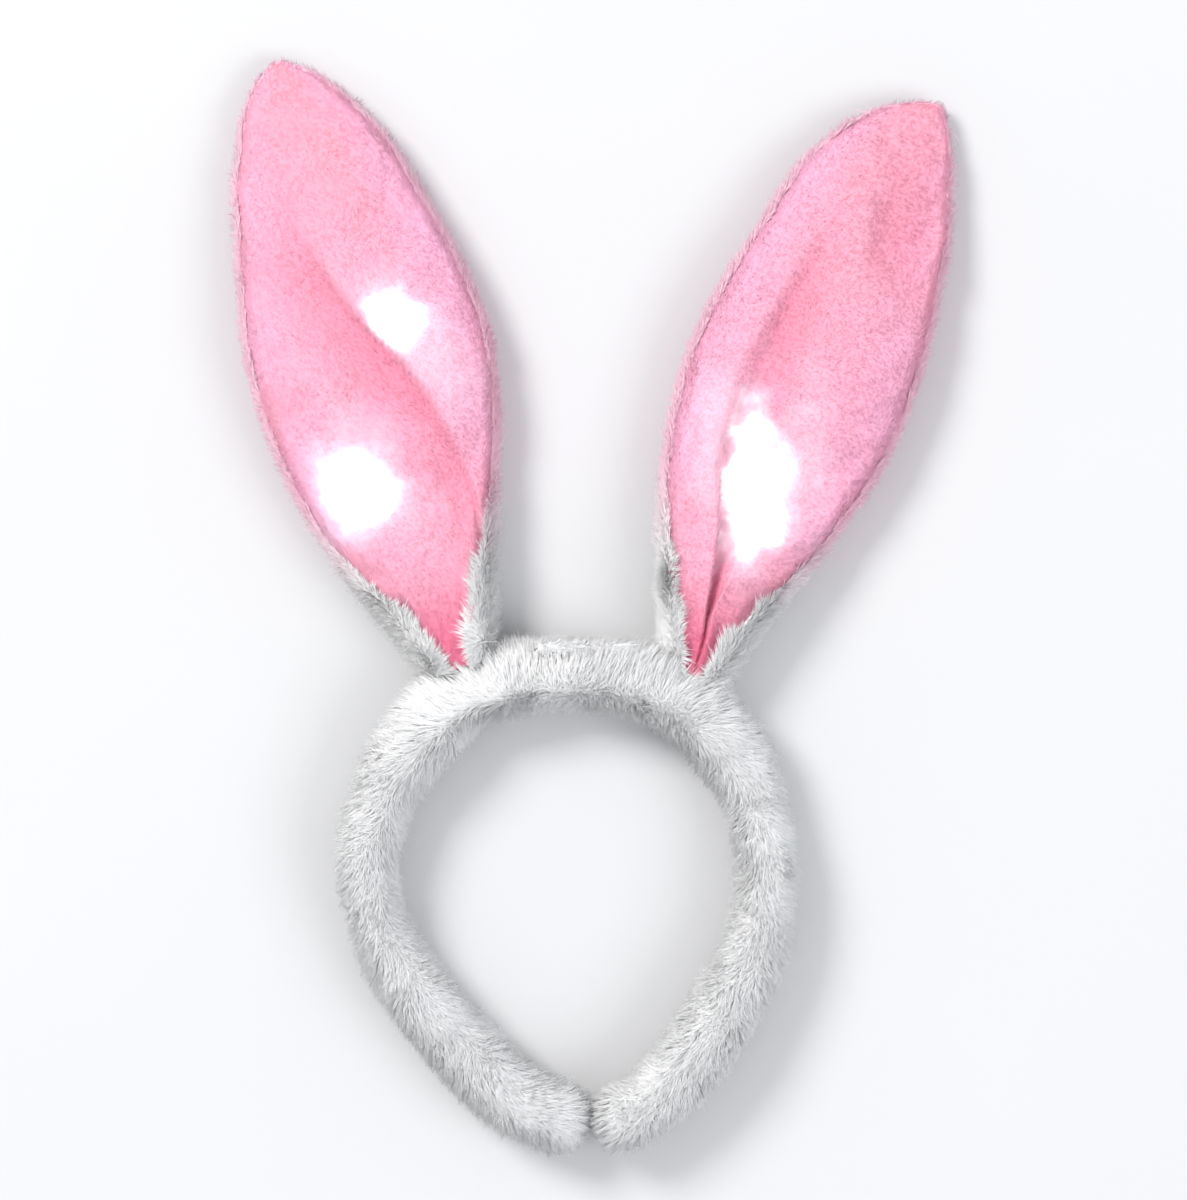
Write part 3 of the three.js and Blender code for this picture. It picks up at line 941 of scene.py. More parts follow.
class SharedEffects:
    """The effects that more than one finish uses, each built once as a node group."""

    def __init__(self) -> None:
        """Builds the groups."""
        self.mottle = self._mottle()
        self.nap = self._nap()
        self.glow = self._glow()

    @staticmethod
    def _group(
        name: str, inputs: dict[str, float | None], output: str
    ) -> tuple[NodeDesk, dict[str, bpy.types.NodeSocket], bpy.types.Node]:
        """Starts a group.

        Args:
            name: the group's name.
            inputs: a default for each number, or None for a vector.
            output: the name of its result.

        Returns:
            A desk on the group's tree, its inputs by name, and its output node.
        """
        tree = bpy.data.node_groups.new(name, "ShaderNodeTree")
        for key, value in inputs.items():
            kind = "NodeSocketVector" if value is None else "NodeSocketFloat"
            socket = tree.interface.new_socket(key, in_out="INPUT", socket_type=kind)
            if value is not None:
                socket.default_value = value
        tree.interface.new_socket(output, in_out="OUTPUT", socket_type="NodeSocketFloat")
        desk = NodeDesk(tree)
        start = desk.add("NodeGroupInput")
        end = desk.add("NodeGroupOutput")
        return desk, {key: start.outputs[key] for key in inputs}, end

    def _mottle(self) -> bpy.types.NodeTree:
        """Soft patches of lighter and darker cloth, from 0 to 1.

        Returns:
            The node group.
        """
        desk, given, end = self._group(
            "Cloth mottle", {"Place": None, "Patches": 30.0, "Contrast": 0.5}, "Shade"
        )
        broad = desk.add("ShaderNodeTexNoise")
        desk.feed(broad.inputs["Vector"], given["Place"])
        desk.feed(broad.inputs["Scale"], given["Patches"])
        broad.inputs["Detail"].default_value = 3.0
        centred = desk.sum_up("SUBTRACT", broad.outputs[0], 0.5)
        spread = desk.sum_up("MULTIPLY", centred, desk.sum_up("MULTIPLY", given["Contrast"], 3.0))
        node = desk.add("ShaderNodeMath", operation="ADD", use_clamp=True)
        desk.feed(node.inputs[0], spread)
        node.inputs[1].default_value = 0.5
        desk.feed(end.inputs[0], node.outputs[0])
        return desk.tree

    def _nap(self) -> bpy.types.NodeTree:
        """The height of a short nap: fine fibres over small tufts.

        Returns:
            The node group.
        """
        desk, given, end = self._group(
            "Fibre nap", {"Place": None, "Fibres": 2500.0, "Tufts": 350.0, "Tuft share": 0.5}, "Height"
        )
        fine = desk.add("ShaderNodeTexNoise")
        desk.feed(fine.inputs["Vector"], given["Place"])
        desk.feed(fine.inputs["Scale"], given["Fibres"])
        fine.inputs["Detail"].default_value = 2.0
        tufts = desk.add("ShaderNodeTexVoronoi", feature="SMOOTH_F1")
        desk.feed(tufts.inputs["Vector"], given["Place"])
        desk.feed(tufts.inputs["Scale"], given["Tufts"])
        raised = desk.sum_up("SUBTRACT", 1.0, tufts.outputs["Distance"])
        broad = desk.sum_up("MULTIPLY", raised, given["Tuft share"])
        small = desk.sum_up("MULTIPLY", fine.outputs[0], desk.sum_up("SUBTRACT", 1.0, given["Tuft share"]))
        desk.feed(end.inputs[0], desk.sum_up("ADD", broad, small))
        return desk.tree

    def _glow(self) -> bpy.types.NodeTree:
        """How strongly a lamp shows through the cloth: 1 at its middle, falling to 0.

        Returns:
            The node group.
        """
        desk, given, end = self._group(
            "Lamp glow",
            {
                "Place": None,
                "Centre": None,
                "Turn": 0.0,
                "Reach across": 0.02,
                "Reach along": 0.02,
                "Ragged": 0.2,
                "Softness": 0.5,
            },
            "Glow",
        )
        turned = desk.add("ShaderNodeVectorRotate", rotation_type="Z_AXIS")
        desk.feed(turned.inputs["Vector"], desk.offset(given["Place"], given["Centre"]))
        desk.feed(turned.inputs["Angle"], given["Turn"])
        parts = desk.add("ShaderNodeSeparateXYZ")
        desk.feed(parts.inputs[0], turned.outputs[0])
        across = desk.sum_up("DIVIDE", parts.outputs[0], given["Reach across"])
        along = desk.sum_up("DIVIDE", parts.outputs[1], given["Reach along"])
        squareness = 2.3
        powers = [
            desk.sum_up("POWER", desk.sum_up("ABSOLUTE", side), squareness) for side in (across, along)
        ]
        distance = desk.sum_up("POWER", desk.sum_up("ADD", *powers), 1 / squareness)
        blots = desk.add("ShaderNodeTexNoise")
        desk.feed(blots.inputs["Vector"], given["Place"])
        set_plain(blots, {"Scale": 75.0, "Detail": 3.0, "Roughness": 0.5})
        ragged = desk.sum_up("MULTIPLY", desk.sum_up("SUBTRACT", blots.outputs[0], 0.5), given["Ragged"])
        edge = desk.sum_up("ADD", distance, ragged)
        fade = desk.add("ShaderNodeMapRange", interpolation_type="SMOOTHERSTEP")
        desk.feed(fade.inputs["Value"], edge)
        desk.feed(fade.inputs["From Min"], desk.sum_up("ADD", 1.0, given["Softness"]))
        desk.feed(fade.inputs["From Max"], desk.sum_up("SUBTRACT", 1.0, given["Softness"]))
        desk.feed(end.inputs[0], fade.outputs["Result"])
        return desk.tree


@dataclass(frozen=True)
class PlushFinish:
    """White plush, lighter at its tips: painted shade greys the pile towards its roots, and a painted pink
    glow of the lamps' light tints it near the lamps.
    """

    name: str = "White plush"
    # Painted shade: the pile's colour at the strands' roots, greyer where they shade each other.
    deep: Colour = (0.84, 0.84, 0.842)
    middle: Colour = (0.94, 0.941, 0.942)
    light: Colour = (0.98, 0.98, 0.978)
    cool: Colour = (0.95, 0.956, 0.966)
    # Painted lamp glow: the pink that the lamps' light gives the white plush, with painted shade towards
    # the roots, and a faint painted emission.
    painted_lamp_glow_root_shade: Colour = (0.78, 0.36, 0.48)
    painted_lamp_glow_tip: Colour = (0.84, 0.52, 0.63)
    lit_through: Colour = (0.2, 0.09, 0.13)
    dull: Colour = (0.88, 0.88, 0.88)
    sheen: float = 0.35

    def material(self, effects: SharedEffects) -> bpy.types.Material:
        """Builds the material.

        Args:
            effects: the shared node groups.

        Returns:
            The material.
        """
        material, desk, cloth = start_material(self.name)
        place = desk.place()
        # Painted shade: each strand runs from the grey root colour to the light tip colour.
        depth = desk.ramp(desk.mark("tip"), ((0.0, self.deep), (0.4, self.middle), (1.0, self.light)))
        shade = desk.effect(effects.mottle, Place=place, Patches=55.0, Contrast=0.6)
        patched = desk.blend(desk.sum_up("MULTIPLY", shade, 0.5), depth, (*self.cool, 1.0), "MULTIPLY")
        strand = desk.sum_up("MULTIPLY", desk.mark("tone"), 0.35)
        toned = desk.blend(strand, patched, (*self.dull, 1.0), "MULTIPLY")
        # Painted lamp glow, darker towards the strands' roots.
        painted_lamp_glow_colour = desk.ramp(desk.mark("tip"), ((0.0, self.painted_lamp_glow_root_shade), (0.8, self.painted_lamp_glow_tip)))
        lit = desk.blend(desk.mark("blush"), toned, painted_lamp_glow_colour)
        desk.feed(cloth.inputs["Base Color"], lit)
        # Painted glow: the plush near the lamps gives off a faint pink light of its own.
        through = desk.blend(desk.mark("blush"), (0.0, 0.0, 0.0, 1.0), (*self.lit_through, 1.0))
        desk.feed(cloth.inputs["Emission Color"], through)
        height = desk.effect(effects.nap, Place=place, Fibres=1800.0, Tufts=280.0, Tuft_share=0.5)
        desk.roughen(cloth, height, strength=0.35, distance=0.0006)
        set_plain(
            cloth,
            {
                "Emission Strength": 1.0,
                "Roughness": 0.82,
                "Sheen Weight": self.sheen,
                "Sheen Roughness": 0.5,
                "Specular IOR Level": 0.25,
            },
        )
        return material


class Lobe(Enum):
    """Which side of an ear's main fold a light shows on."""

    EITHER = "either"
    LOW = "low"
    HIGH = "high"


@dataclass(frozen=True)
class GlowSpot:
    """One bright place on an ear's front: its middle, its turn, and its reach each way."""

    along: float
    across: float
    turn: float
    reach_across: float
    reach_along: float
    softness: float
    ragged: float
    strength: float
    lobe: Lobe = Lobe.EITHER


@dataclass(frozen=True)
class VelourFinish:
    """Pink velour, lit from behind by lamps."""

    name: str
    pink: Colour = (0.79, 0.355, 0.47)
    salmon: Colour = (0.79, 0.325, 0.41)
    lavender: Colour = (0.77, 0.39, 0.55)
    # Painted shade: the colour for the folds' troughs, also used for the deeper pink towards the root.
    deep: Colour = (0.7, 0.13, 0.23)
    speckle: Colour = (0.8, 0.62, 0.7)
    dull: Colour = (0.9, 0.8, 0.86)
    glow: tuple[tuple[float, Colour], ...] = (
        (0.0, (0.045, 0.008, 0.018)),
        (0.2, (0.06, 0.024, 0.045)),
        (0.5, (0.11, 0.115, 0.15)),
        (0.75, (0.21, 0.28, 0.31)),
        (0.9, (0.34, 0.48, 0.49)),
        (1.0, (0.6, 0.8, 0.78)),
    )
    sheen: float = 0.35

    def material(
        self, effects: SharedEffects, spots: tuple[GlowSpot, ...], centres: list[Vector], turn: float
    ) -> bpy.types.Material:
        """Builds the material.

        Args:
            effects: the shared node groups.
            spots: the bright places.
            centres: where their middles are.
            turn: how far the ear leans.

        Returns:
            The material.
        """
        material, desk, cloth = start_material(self.name)
        place = desk.place()
        warm = desk.effect(effects.mottle, Place=place, Patches=16.0, Contrast=0.7)
        base = desk.blend(warm, (*self.pink, 1.0), (*self.salmon, 1.0))
        cold = desk.effect(effects.mottle, Place=place, Patches=21.0, Contrast=0.8)
        cool = desk.blend(desk.sum_up("MULTIPLY", desk.mark("edge"), cold), base, (*self.lavender, 1.0))
        # Painted shade deepens the pink in the folds' troughs; the same mark gives a deeper pink towards
        # the root.
        fold = desk.blend(desk.mark("fold"), cool, (*self.deep, 1.0))
        fine = desk.effect(effects.mottle, Place=place, Patches=420.0, Contrast=0.5)
        speckled = desk.blend(desk.sum_up("MULTIPLY", fine, 0.12), fold, (*self.speckle, 1.0), "MULTIPLY")
        strand = desk.sum_up("MULTIPLY", desk.mark("tone"), 0.14)
        toned = desk.blend(strand, speckled, (*self.dull, 1.0), "MULTIPLY")
        desk.feed(cloth.inputs["Base Color"], toned)
        total = None
        for spot, centre in zip(spots, centres):
            glow = desk.effect(
                effects.glow,
                Place=place,
                Centre=tuple(centre),
                Turn=-(turn + spot.turn),
                Reach_across=spot.reach_across,
                Reach_along=spot.reach_along,
                Ragged=spot.ragged,
                Softness=spot.softness,
            )
            # Painted shadow: a spot's glow is cut off on the far side of the fold's crisp edge.
            if spot.lobe is not Lobe.EITHER:
                near = desk.mark("lobe")
                kept = near if spot.lobe is Lobe.HIGH else desk.sum_up("SUBTRACT", 1.0, near)
                glow = desk.sum_up("MULTIPLY", glow, kept)
            scaled = desk.sum_up("MULTIPLY", glow, spot.strength)
            total = scaled if total is None else desk.sum_up("ADD", total, scaled)
        # Painted shade: the lamps' glow is dimmed in the folds and towards the root.
        hidden = desk.sum_up("MULTIPLY", desk.mark("fold"), 0.3)
        dimmed = desk.sum_up("MULTIPLY", total, desk.sum_up("SUBTRACT", 1.0, hidden))
        light = desk.ramp(dimmed, self.glow)
        desk.feed(cloth.inputs["Emission Color"], light)
        height = desk.effect(effects.nap, Place=place, Fibres=2600.0, Tufts=520.0, Tuft_share=0.4)
        desk.roughen(cloth, height, strength=0.4, distance=0.0004)
        set_plain(
            cloth,
            {
                "Emission Strength": 1.0,
                "Roughness": 0.7,
                "Sheen Weight": self.sheen,
                "Sheen Roughness": 0.4,
                "Specular IOR Level": 0.2,
            },
        )
        return material


@dataclass(frozen=True)
class LampFinish:
    """The frosted cover of a lit lamp."""

    name: str = "Frosted lamp"
    cover: Colour = (0.98, 0.93, 0.9)
    shade: Colour = (0.86, 0.78, 0.78)
    strength: float = 2.5

    def material(self, effects: SharedEffects) -> bpy.types.Material:
        """Builds the material from the shared node groups.

        Args:
            effects: the shared node groups.

        Returns:
            The material.
        """
        material, desk, cover = start_material(self.name)
        place = desk.place()
        clouds = desk.effect(effects.mottle, Place=place, Patches=240.0, Contrast=0.5)
        tint = desk.blend(clouds, (*self.cover, 1.0), (*self.shade, 1.0))
        desk.feed(cover.inputs["Base Color"], tint)
        desk.feed(cover.inputs["Emission Color"], tint)
        frost = desk.effect(effects.nap, Place=place, Fibres=4000.0, Tufts=900.0, Tuft_share=0.3)
        desk.roughen(cover, frost, strength=0.2, distance=0.0001)
        set_plain(cover, {"Emission Strength": self.strength, "Roughness": 0.45})
        return material


@dataclass(frozen=True)
class FloorFinish:
    """A plain pale table top."""

    name: str = "Pale table"
    light: Colour = (0.64, 0.64, 0.647)
    shade: Colour = (0.615, 0.615, 0.625)

    def material(self, effects: SharedEffects) -> bpy.types.Material:
        """Builds the material from the shared node groups.

        Args:
            effects: the shared node groups.

        Returns:
            The material.
        """
        material, desk, top = start_material(self.name)
        clouds = desk.effect(effects.mottle, Place=desk.place(), Patches=6.0, Contrast=0.3)
        desk.feed(top.inputs["Base Color"], desk.blend(clouds, (*self.light, 1.0), (*self.shade, 1.0)))
        set_plain(top, {"Roughness": 0.6, "Specular IOR Level": 0.2})
        return material


@dataclass
class Wardrobe:
    """The finished materials that pieces share."""

    effects: SharedEffects
    plush: bpy.types.Material
    lamp: bpy.types.Material
    floor: bpy.types.Material


# Sub-assemblies


@dataclass
class PlushBand:
    """The padded band: a strip of plush rolled round its padding, and its pile."""

    route: BandRoute
    wardrobe: Wardrobe
    skin_inset: float = 0.0027
    turns: int = 44
    rows: int = 300
    voxel: float = 0.0032
    swell: float = 0.0008
    off_table: float = 0.0006
    strands: int = 62000
    padding: Padding = Padding(pressure=4.0, looseness=0.03, cap=0.0014)
    pile: Pile = Pile(
        length=0.0054,
        width=0.00042,
        lean=0.7,
        clump=0.0019,
        gather=0.6,
        uneven=0.24,
        swirl=0.45,
        wander=0.4,
        soft=0.62,
        seed=11,
    )
    ear_share: float = 0.085
    strays: int = 130

    def build(self) -> list[bpy.types.Object]:
        """Builds the sleeve and its pile, one half of the band at a time.

        Returns:
            The pieces.
        """
        sleeve = cut_cloth("band_sleeve_soft", self.turns, self.rows)
        flat = points_of(sleeve)
        points = self.route.skin(flat[:, 0] + 0.5, flat[:, 1] + 0.5, self.skin_inset)
        move_points(sleeve, points)
        close_seams(sleeve)
        apply_modifier(sleeve, "REMESH", mode="VOXEL", voxel_size=self.voxel)
        swell_cloth(sleeve, self.padding)
        apply_modifier(sleeve, "SUBSURF", levels=1, render_levels=1)
        points, normals = points_of(sleeve), normals_of(sleeve)
        broad, fine = SoftNoise(3, 0.03), SoftNoise(4, 0.011)
        offset = self.swell * broad(points) + 0.35 * self.swell * fine(points)
        points = points + normals * offset[:, None]
        points[:, 2] = np.maximum(points[:, 2], self.off_table)
        move_points(sleeve, points)
        by_ear = self._by_ear(points)
        mark_points(sleeve, "lay", 0.3 * by_ear)
        mark_points(sleeve, "stretch", 0.55 * by_ear)
        mark_points(sleeve, "tip", np.full(len(points), 0.45))
        wear(sleeve, self.wardrobe.plush)
        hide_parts("band_sleeve")
        middle = float(self.route.at(np.array([0.5]))[0][0, 0])
        piles = []
        for name, sign in (("left", -1), ("right", 1)):
            bed = PileBed.scatter(
                sleeve,
                self.strands,
                lambda spots, sign=sign: self._thickness_of_pile(spots, sign, middle),
                ("lay", "stretch"),
                seed=20 + sign,
            )
            piles.append(self.pile.grow(f"band_pile_{name}", bed, self._comb, self.wardrobe.plush))
        bed = PileBed.scatter(
            sleeve, self.strays, lambda spots: (spots[:, 2] > 0.008).astype(float), (), seed=23
        )
        strays = StrayHairs(seed=24).grow("band_stray_hairs", bed, self.wardrobe.plush)
        return [sleeve, *piles, strays]

    def _by_ear(self, points: np.ndarray) -> np.ndarray:
        """How near places on the outer side are to an ear's root, from 0 to 1.

        Args:
            points: points, one row each.

        Returns:
            A share for each point.
        """
        share, out = self.route.nearest(points)
        apart = (np.abs(share - 0.5) - self.ear_share) / 0.045
        return np.exp(-(apart**2)) * ease((out + 0.002) / 0.004)

    def _thickness_of_pile(self, spots: np.ndarray, sign: int, middle: float) -> np.ndarray:
        """How thickly the pile stands: all on one half, and thinly underneath."""
        half = (sign * (spots[:, 0] - middle) >= 0).astype(float)
        return half * np.where(spots[:, 2] < 0.002, 0.35, 1.0)

    def _comb(self, points: np.ndarray) -> np.ndarray:
        """The pile is brushed out over the ears' roots at the crown, and towards the ends below.

        Args:
            points: points, one row each.

        Returns:
            A direction for each point.
        """
        share, _ = self.route.nearest(points)
        _, outward = self.route.at(share)
        sign = np.tanh((share - 0.5) / 0.09)[:, None]
        ahead = np.column_stack([outward[:, 1], -outward[:, 0], np.zeros(len(share))])
        aside = np.column_stack([outward, np.zeros(len(share))])
        spread = 0.12 + 1.3 * np.exp(-(((share - 0.5) / 0.15) ** 2)) + 0.9 * self._by_ear(points)
        return ahead * sign + spread[:, None] * aside


@dataclass
class BatteryPad:
    """The small straight-edged pad on the crown, wrapped in short plush."""

    route: BandRoute
    wardrobe: Wardrobe
    length: float = 0.034
    depth: float = 0.02
    rise: float = 0.0026
    foot_rise: float = 0.002
    skin_inset: float = 0.0008
    dent: float = 0.0003
    corner: float = 0.0016
    centre_across: float = 0.006
    seat_gap: float = 0.0004
    strands: int = 9000
    pile: Pile = Pile(length=0.0034, width=0.0004, lean=0.85, clump=0.0015, gather=0.5, seed=31)

    def build(self) -> list[bpy.types.Object]:
        """Builds the pad and its pile.

        Returns:
            The pieces.
        """
        crown = self.route.at(np.array([0.5]))[0][0]
        half_thick = float(self.route.thickness_at(np.array([0.5]))[0]) / 2
        top = crown[1] + half_thick + self.rise - self.skin_inset
        low = crown[1] + self.foot_rise
        deselect_all()
        centre = (
            float(self.route.origin[0]) + self.centre_across,
            (top + low) / 2,
            self.route.depth / 2,
        )
        bpy.ops.mesh.primitive_cube_add(
            size=1.0,
            location=centre,
            scale=(self.length - 2 * self.skin_inset, top - low, self.depth - 2 * self.skin_inset),
        )
        pad = bpy.context.object
        pad.name = pad.data.name = "battery_pad_soft"
        bpy.ops.object.transform_apply(location=True, rotation=True, scale=True)
        bpy.ops.object.mode_set(mode="EDIT")
        bpy.ops.mesh.select_all(action="SELECT")
        bpy.ops.mesh.bevel(offset=self.corner, segments=3, affect="EDGES")
        bpy.ops.mesh.select_all(action="SELECT")
        bpy.ops.mesh.subdivide(number_cuts=7)
        bpy.ops.object.mode_set(mode="OBJECT")
        points = points_of(pad)
        points[:, 1] += self.dent * SoftNoise(5, 0.012)(points)
        points = self._seated(points)
        move_points(pad, points)
        mark_points(pad, "tip", np.full(len(points), 0.45))
        wear(pad, self.wardrobe.plush)
        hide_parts("battery_pad")
        bed = PileBed.scatter(pad, self.strands, None, (), seed=32)
        pile = self.pile.grow("battery_pad_pile", bed, self._comb, self.wardrobe.plush)
        return [pad, pile]

    def _comb(self, points: np.ndarray) -> np.ndarray:
        """The pile is brushed down towards the band."""
        return np.tile([0.3, -1.0, 0.1], (len(points), 1))

    def _seated(self, points: np.ndarray) -> np.ndarray:
        """Lifts what would reach into the band onto its surface.

        Args:
            points: points, one row each.

        Returns:
            The points, off the band.
        """
        share, out = self.route.nearest(points)
        power = 2 / self.route.squaring
        height = np.minimum(np.abs(points[:, 2] - self.route.depth / 2) / (self.route.depth / 2), 1)
        surface = self.route.thickness_at(share) / 2 * (1 - height**power) ** (1 / power)
        short = np.maximum(surface + self.seat_gap - out, 0)
        _, outward = self.route.at(share)
        moved = points.copy()
        moved[:, :2] += outward * short[:, None]
        return moved


class OutlineRow(NamedTuple):
    """How far an ear reaches to each side, as shares of half its width."""

    along: float
    left: float
    right: float


class SectionRow(NamedTuple):
    """An ear's section: rim height, back and front depth, and the part that is pink."""

    along: float
    rim: float
    back: float
    front: float
    panel: float


class FoldRow(NamedTuple):
    """One place along a fold in an ear's front.

    "low" and "high" are the two edges of its trough across the ear, "depth" a share of the
    front's depth, and "low_soft" and "high_soft" how wide its two flanks are.
    """

    along: float
    low: float
    high: float
    depth: float
    low_soft: float
    high_soft: float


@dataclass(frozen=True)
class Fold:
    """A trough in an ear's front, between two edges, of which one is crisp."""

    rows: tuple[FoldRow, ...]
    crisp: Lobe = Lobe.HIGH
    blur: float = 0.07

    def above(self, along: np.ndarray, across: np.ndarray) -> np.ndarray:
        """How far places are past the crisp edge: 0 on its low side and 1 on its high side."""
        line = SmoothColumn.of(self.rows, self.crisp.value)
        return ease((across - line(along)) / self.blur + 0.5)

    def depth(self, along: np.ndarray, across: np.ndarray) -> np.ndarray:
        """How deep the trough is.

        Args:
            along: shares of the ear's length.
            across: shares of the half width.

        Returns:
            Shares of the front's depth.
        """
        low, high, depth, low_soft, high_soft = (
            SmoothColumn.of(self.rows, name)(along)
            for name in ("low", "high", "depth", "low_soft", "high_soft")
        )
        rising = ease((across - low) / np.maximum(low_soft, 0.02) + 0.5)
        falling = ease((high - across) / np.maximum(high_soft, 0.02) + 0.5)
        return np.maximum(depth, 0) * rising * falling


class Side(Enum):
    """Which ear, as seen from the front."""

    LEFT = "left"
    RIGHT = "right"


@dataclass
class Ear:
    """One plush ear: a white back that wraps round the rim, a pink front and its lamps.

    "seat" is its place along the band as a share of the band's half width, and "lean" its
    angle from +Y in degrees.
    """

    side: Side
    route: BandRoute
    wardrobe: Wardrobe
    seat: float
    lean: float
    reach: float
    outline: tuple[OutlineRow, ...]
    folds: tuple[Fold, ...]
    spots: tuple[GlowSpot, ...]
    length: float = 0.214
    width: float = 0.083
    front_depth: float = 0.013
    tip_start: float = 0.8
    plush_wall: float = 0.003
    cloth_wall: float = 0.0014
    seam_gap: float = 0.0005
    off_table: float = 0.0008
    back_grid: tuple[int, int] = (56, 110)
    back_inset: float = 0.0013
    back_lump: float = 0.0006
    front_grid: tuple[int, int] = (64, 130)
    front_inset: float = 0.0016
    front_end: float = 0.996
    broad_dent: float = 0.0011
    fine_dent: float = 0.0004
    gather_height: float = 0.0007
    sections: tuple[SectionRow, ...] = (
        SectionRow(-0.08, 1, 0.84, 0.82, 0.3),
        SectionRow(0, 1, 0.84, 0.84, 0.46),
        SectionRow(0.04, 1, 0.87, 0.87, 0.6),
        SectionRow(0.09, 1, 0.92, 0.92, 0.78),
        SectionRow(0.14, 1, 0.96, 0.96, 0.88),
        SectionRow(0.21, 1, 1, 1, 0.95),
        SectionRow(0.3, 1, 1, 1, 0.975),
        SectionRow(0.5, 1, 1, 0.98, 0.98),
        SectionRow(0.6, 0.98, 1, 0.93, 0.98),
        SectionRow(0.75, 0.86, 1, 0.82, 0.98),
        SectionRow(0.9, 0.64, 1, 0.7, 0.975),
        SectionRow(1, 0.5, 1, 0.6, 0.97),
    )
    back_pile: Pile = Pile(
        length=0.0052,
        width=0.0004,
        lean=0.7,
        clump=0.0018,
        gather=0.62,
        uneven=0.24,
        swirl=0.4,
        soft=0.62,
        seed=41,
    )
    padding: Padding = Padding(pressure=1.5, looseness=0.012, cap=0.0016)
    nap: Pile = Pile(
        length=0.0011, width=0.00036, lean=0.95, clump=0.0009, gather=0.25, swirl=0.3, soft=0.96, seed=51
    )
    back_strands: int = 42000
    nap_strands: int = 27000
    strays: int = 60

    def __post_init__(self) -> None:
        """Sets up the ear's curves and its place on the band."""
        self.section = {
            name: SmoothColumn.of(self.sections, name) for name in ("rim", "back", "front", "panel")
        }
        self.left = SmoothColumn.of(self.outline, "left")
        self.right = SmoothColumn.of(self.outline, "right")
        sign = -1 if self.side is Side.LEFT else 1
        shares = np.linspace(0.5, 0.5 + 0.45 * sign, 1200)
        line, outward = self.route.at(shares)
        reached = sign * (line[:, 0] - self.route.origin[0]) >= self.seat * self.route.half_width
        found = int(np.argmax(reached))
        half = float(self.route.thickness_at(shares[found : found + 1])[0]) / 2
        self.root = np.array([*(line[found] + outward[found] * half), 0.0])
        turn = math.radians(self.lean)
        self.up = np.array([-math.sin(turn), math.cos(turn), 0.0])
        self.over = np.array([math.cos(turn), math.sin(turn), 0.0])
        seed = 60 if self.side is Side.LEFT else 80
        self.lumps = (SoftNoise(seed, 0.045), SoftNoise(seed + 1, 0.018), SoftNoise(seed + 2, 0.011))

    def sizes(self, along: np.ndarray) -> dict[str, np.ndarray]:
        """The ear's sizes at shares of its length.

        Args:
            along: shares of the ear's length.

        Returns:
            Half width, swing to the side, rim height, and back and front depth, by name.
        """
        past = np.clip((along - self.tip_start) / (1 - self.tip_start), 0, 1)
        tip = np.maximum(0, 1 - past**1.6) ** 0.6
        left, right = self.left(along), self.right(along)
        rim = self.section["rim"](along) * self.route.depth / 2
        return {
            "half": (left + right) * self.width * tip / 4,
            "swing": (right - left) * self.width * tip / 4,
            "rim": rim,
            "back": rim * np.minimum(self.section["back"](along), 1) * tip**0.6,
            "front": self.front_depth * self.section["front"](along) * tip**0.8,
        }

    def fold_depth(self, along: np.ndarray, across: np.ndarray) -> np.ndarray:
        """How deep the folds are, as a share of the front's depth."""
        return sum(fold.depth(along, across) for fold in self.folds)

    def surface(self, along: np.ndarray, angle: np.ndarray, inset: float) -> np.ndarray:
        """Points of the ear's pouch.

        Args:
            along: shares of the ear's length.
            angle: the turn round the section, from the left rim over the front.
            inset: how far inside the full size the points are.

        Returns:
            The points.
        """
        sizes = self.sizes(along)
        across, rise = -np.cos(angle), np.sin(angle)
        half, front, back = (
            sizes[name] - inset * np.minimum(1, sizes[name] / (2 * self.plush_wall))
            for name in ("half", "front", "back")
        )
        fold = self.front_depth * self.fold_depth(along, across)
        z = np.where(
            rise >= 0,
            front * np.abs(rise) ** 0.8 - fold * np.abs(rise) ** 0.7,
            -back * np.abs(rise) ** 0.7,
        )
        length = self.length * self.reach * along - inset * np.maximum(along, 0)
        flat = (
            self.root
            + self.up * length[:, None]
            + self.over * (half * across + sizes["swing"])[:, None]
        )
        flat[:, 2] = sizes["rim"] + z
        return flat

    def first_row(self, angle: np.ndarray, inset: float, grow: float) -> np.ndarray:
        """Where the ear meets the band, as a share of its length for each angle.

        Args:
            angle: turns round the section.
            inset: how far inside the full size the wall is.
            grow: how far off the band it stops.

        Returns:
            The shares.
        """
        inside = np.full(len(angle), -0.12)
        outside = np.full(len(angle), 0.1)
        for _ in range(18):
            middle = (inside + outside) / 2
            clear = self.route.clearance(self.surface(middle, angle, inset), grow) > 0
            outside = np.where(clear, middle, outside)
            inside = np.where(clear, inside, middle)
        return outside

    def lay(
        self, piece: bpy.types.Object, start: Field, end: Field, last: float, inset: float
    ) -> tuple[np.ndarray, np.ndarray]:
        """Shapes a flat cloth onto the pouch, from the band to the tip.

        Args:
            piece: the cloth.
            start: the angle of its left edge at shares of the length.
            end: the angle of its right edge.
            last: the share of the length where it ends.
            inset: how far inside the full size it lies.

        Returns:
            The share of the length and the angle of each vertex.
        """
        flat = points_of(piece)
        across, up = flat[:, 0] + 0.5, flat[:, 1] + 0.5
        rise = 1 - (1 - up) ** 1.6
        low = np.zeros(len(flat))
        for _ in range(3):
            along = low + (last - low) * rise
            angle = start(along) + (end(along) - start(along)) * across
            foot = start(low) + (end(low) - start(low)) * across
            low = self.first_row(foot, inset, 0.0004)
        along = low + (last - low) * rise
        angle = start(along) + (end(along) - start(along)) * across
        move_points(piece, self.surface(along, angle, inset))
        return along, angle

    def lip(self, along: np.ndarray) -> np.ndarray:
        """The angle of the lip where the white back ends and the front begins."""
        return np.arccos(np.clip(self.section["panel"](along), 0.02, 0.99))

    def build(self) -> list[bpy.types.Object]:
        """Builds the back, the front and their piles.

        Returns:
            The pieces.
        """
        return [*self.build_back(), *self.build_front()]

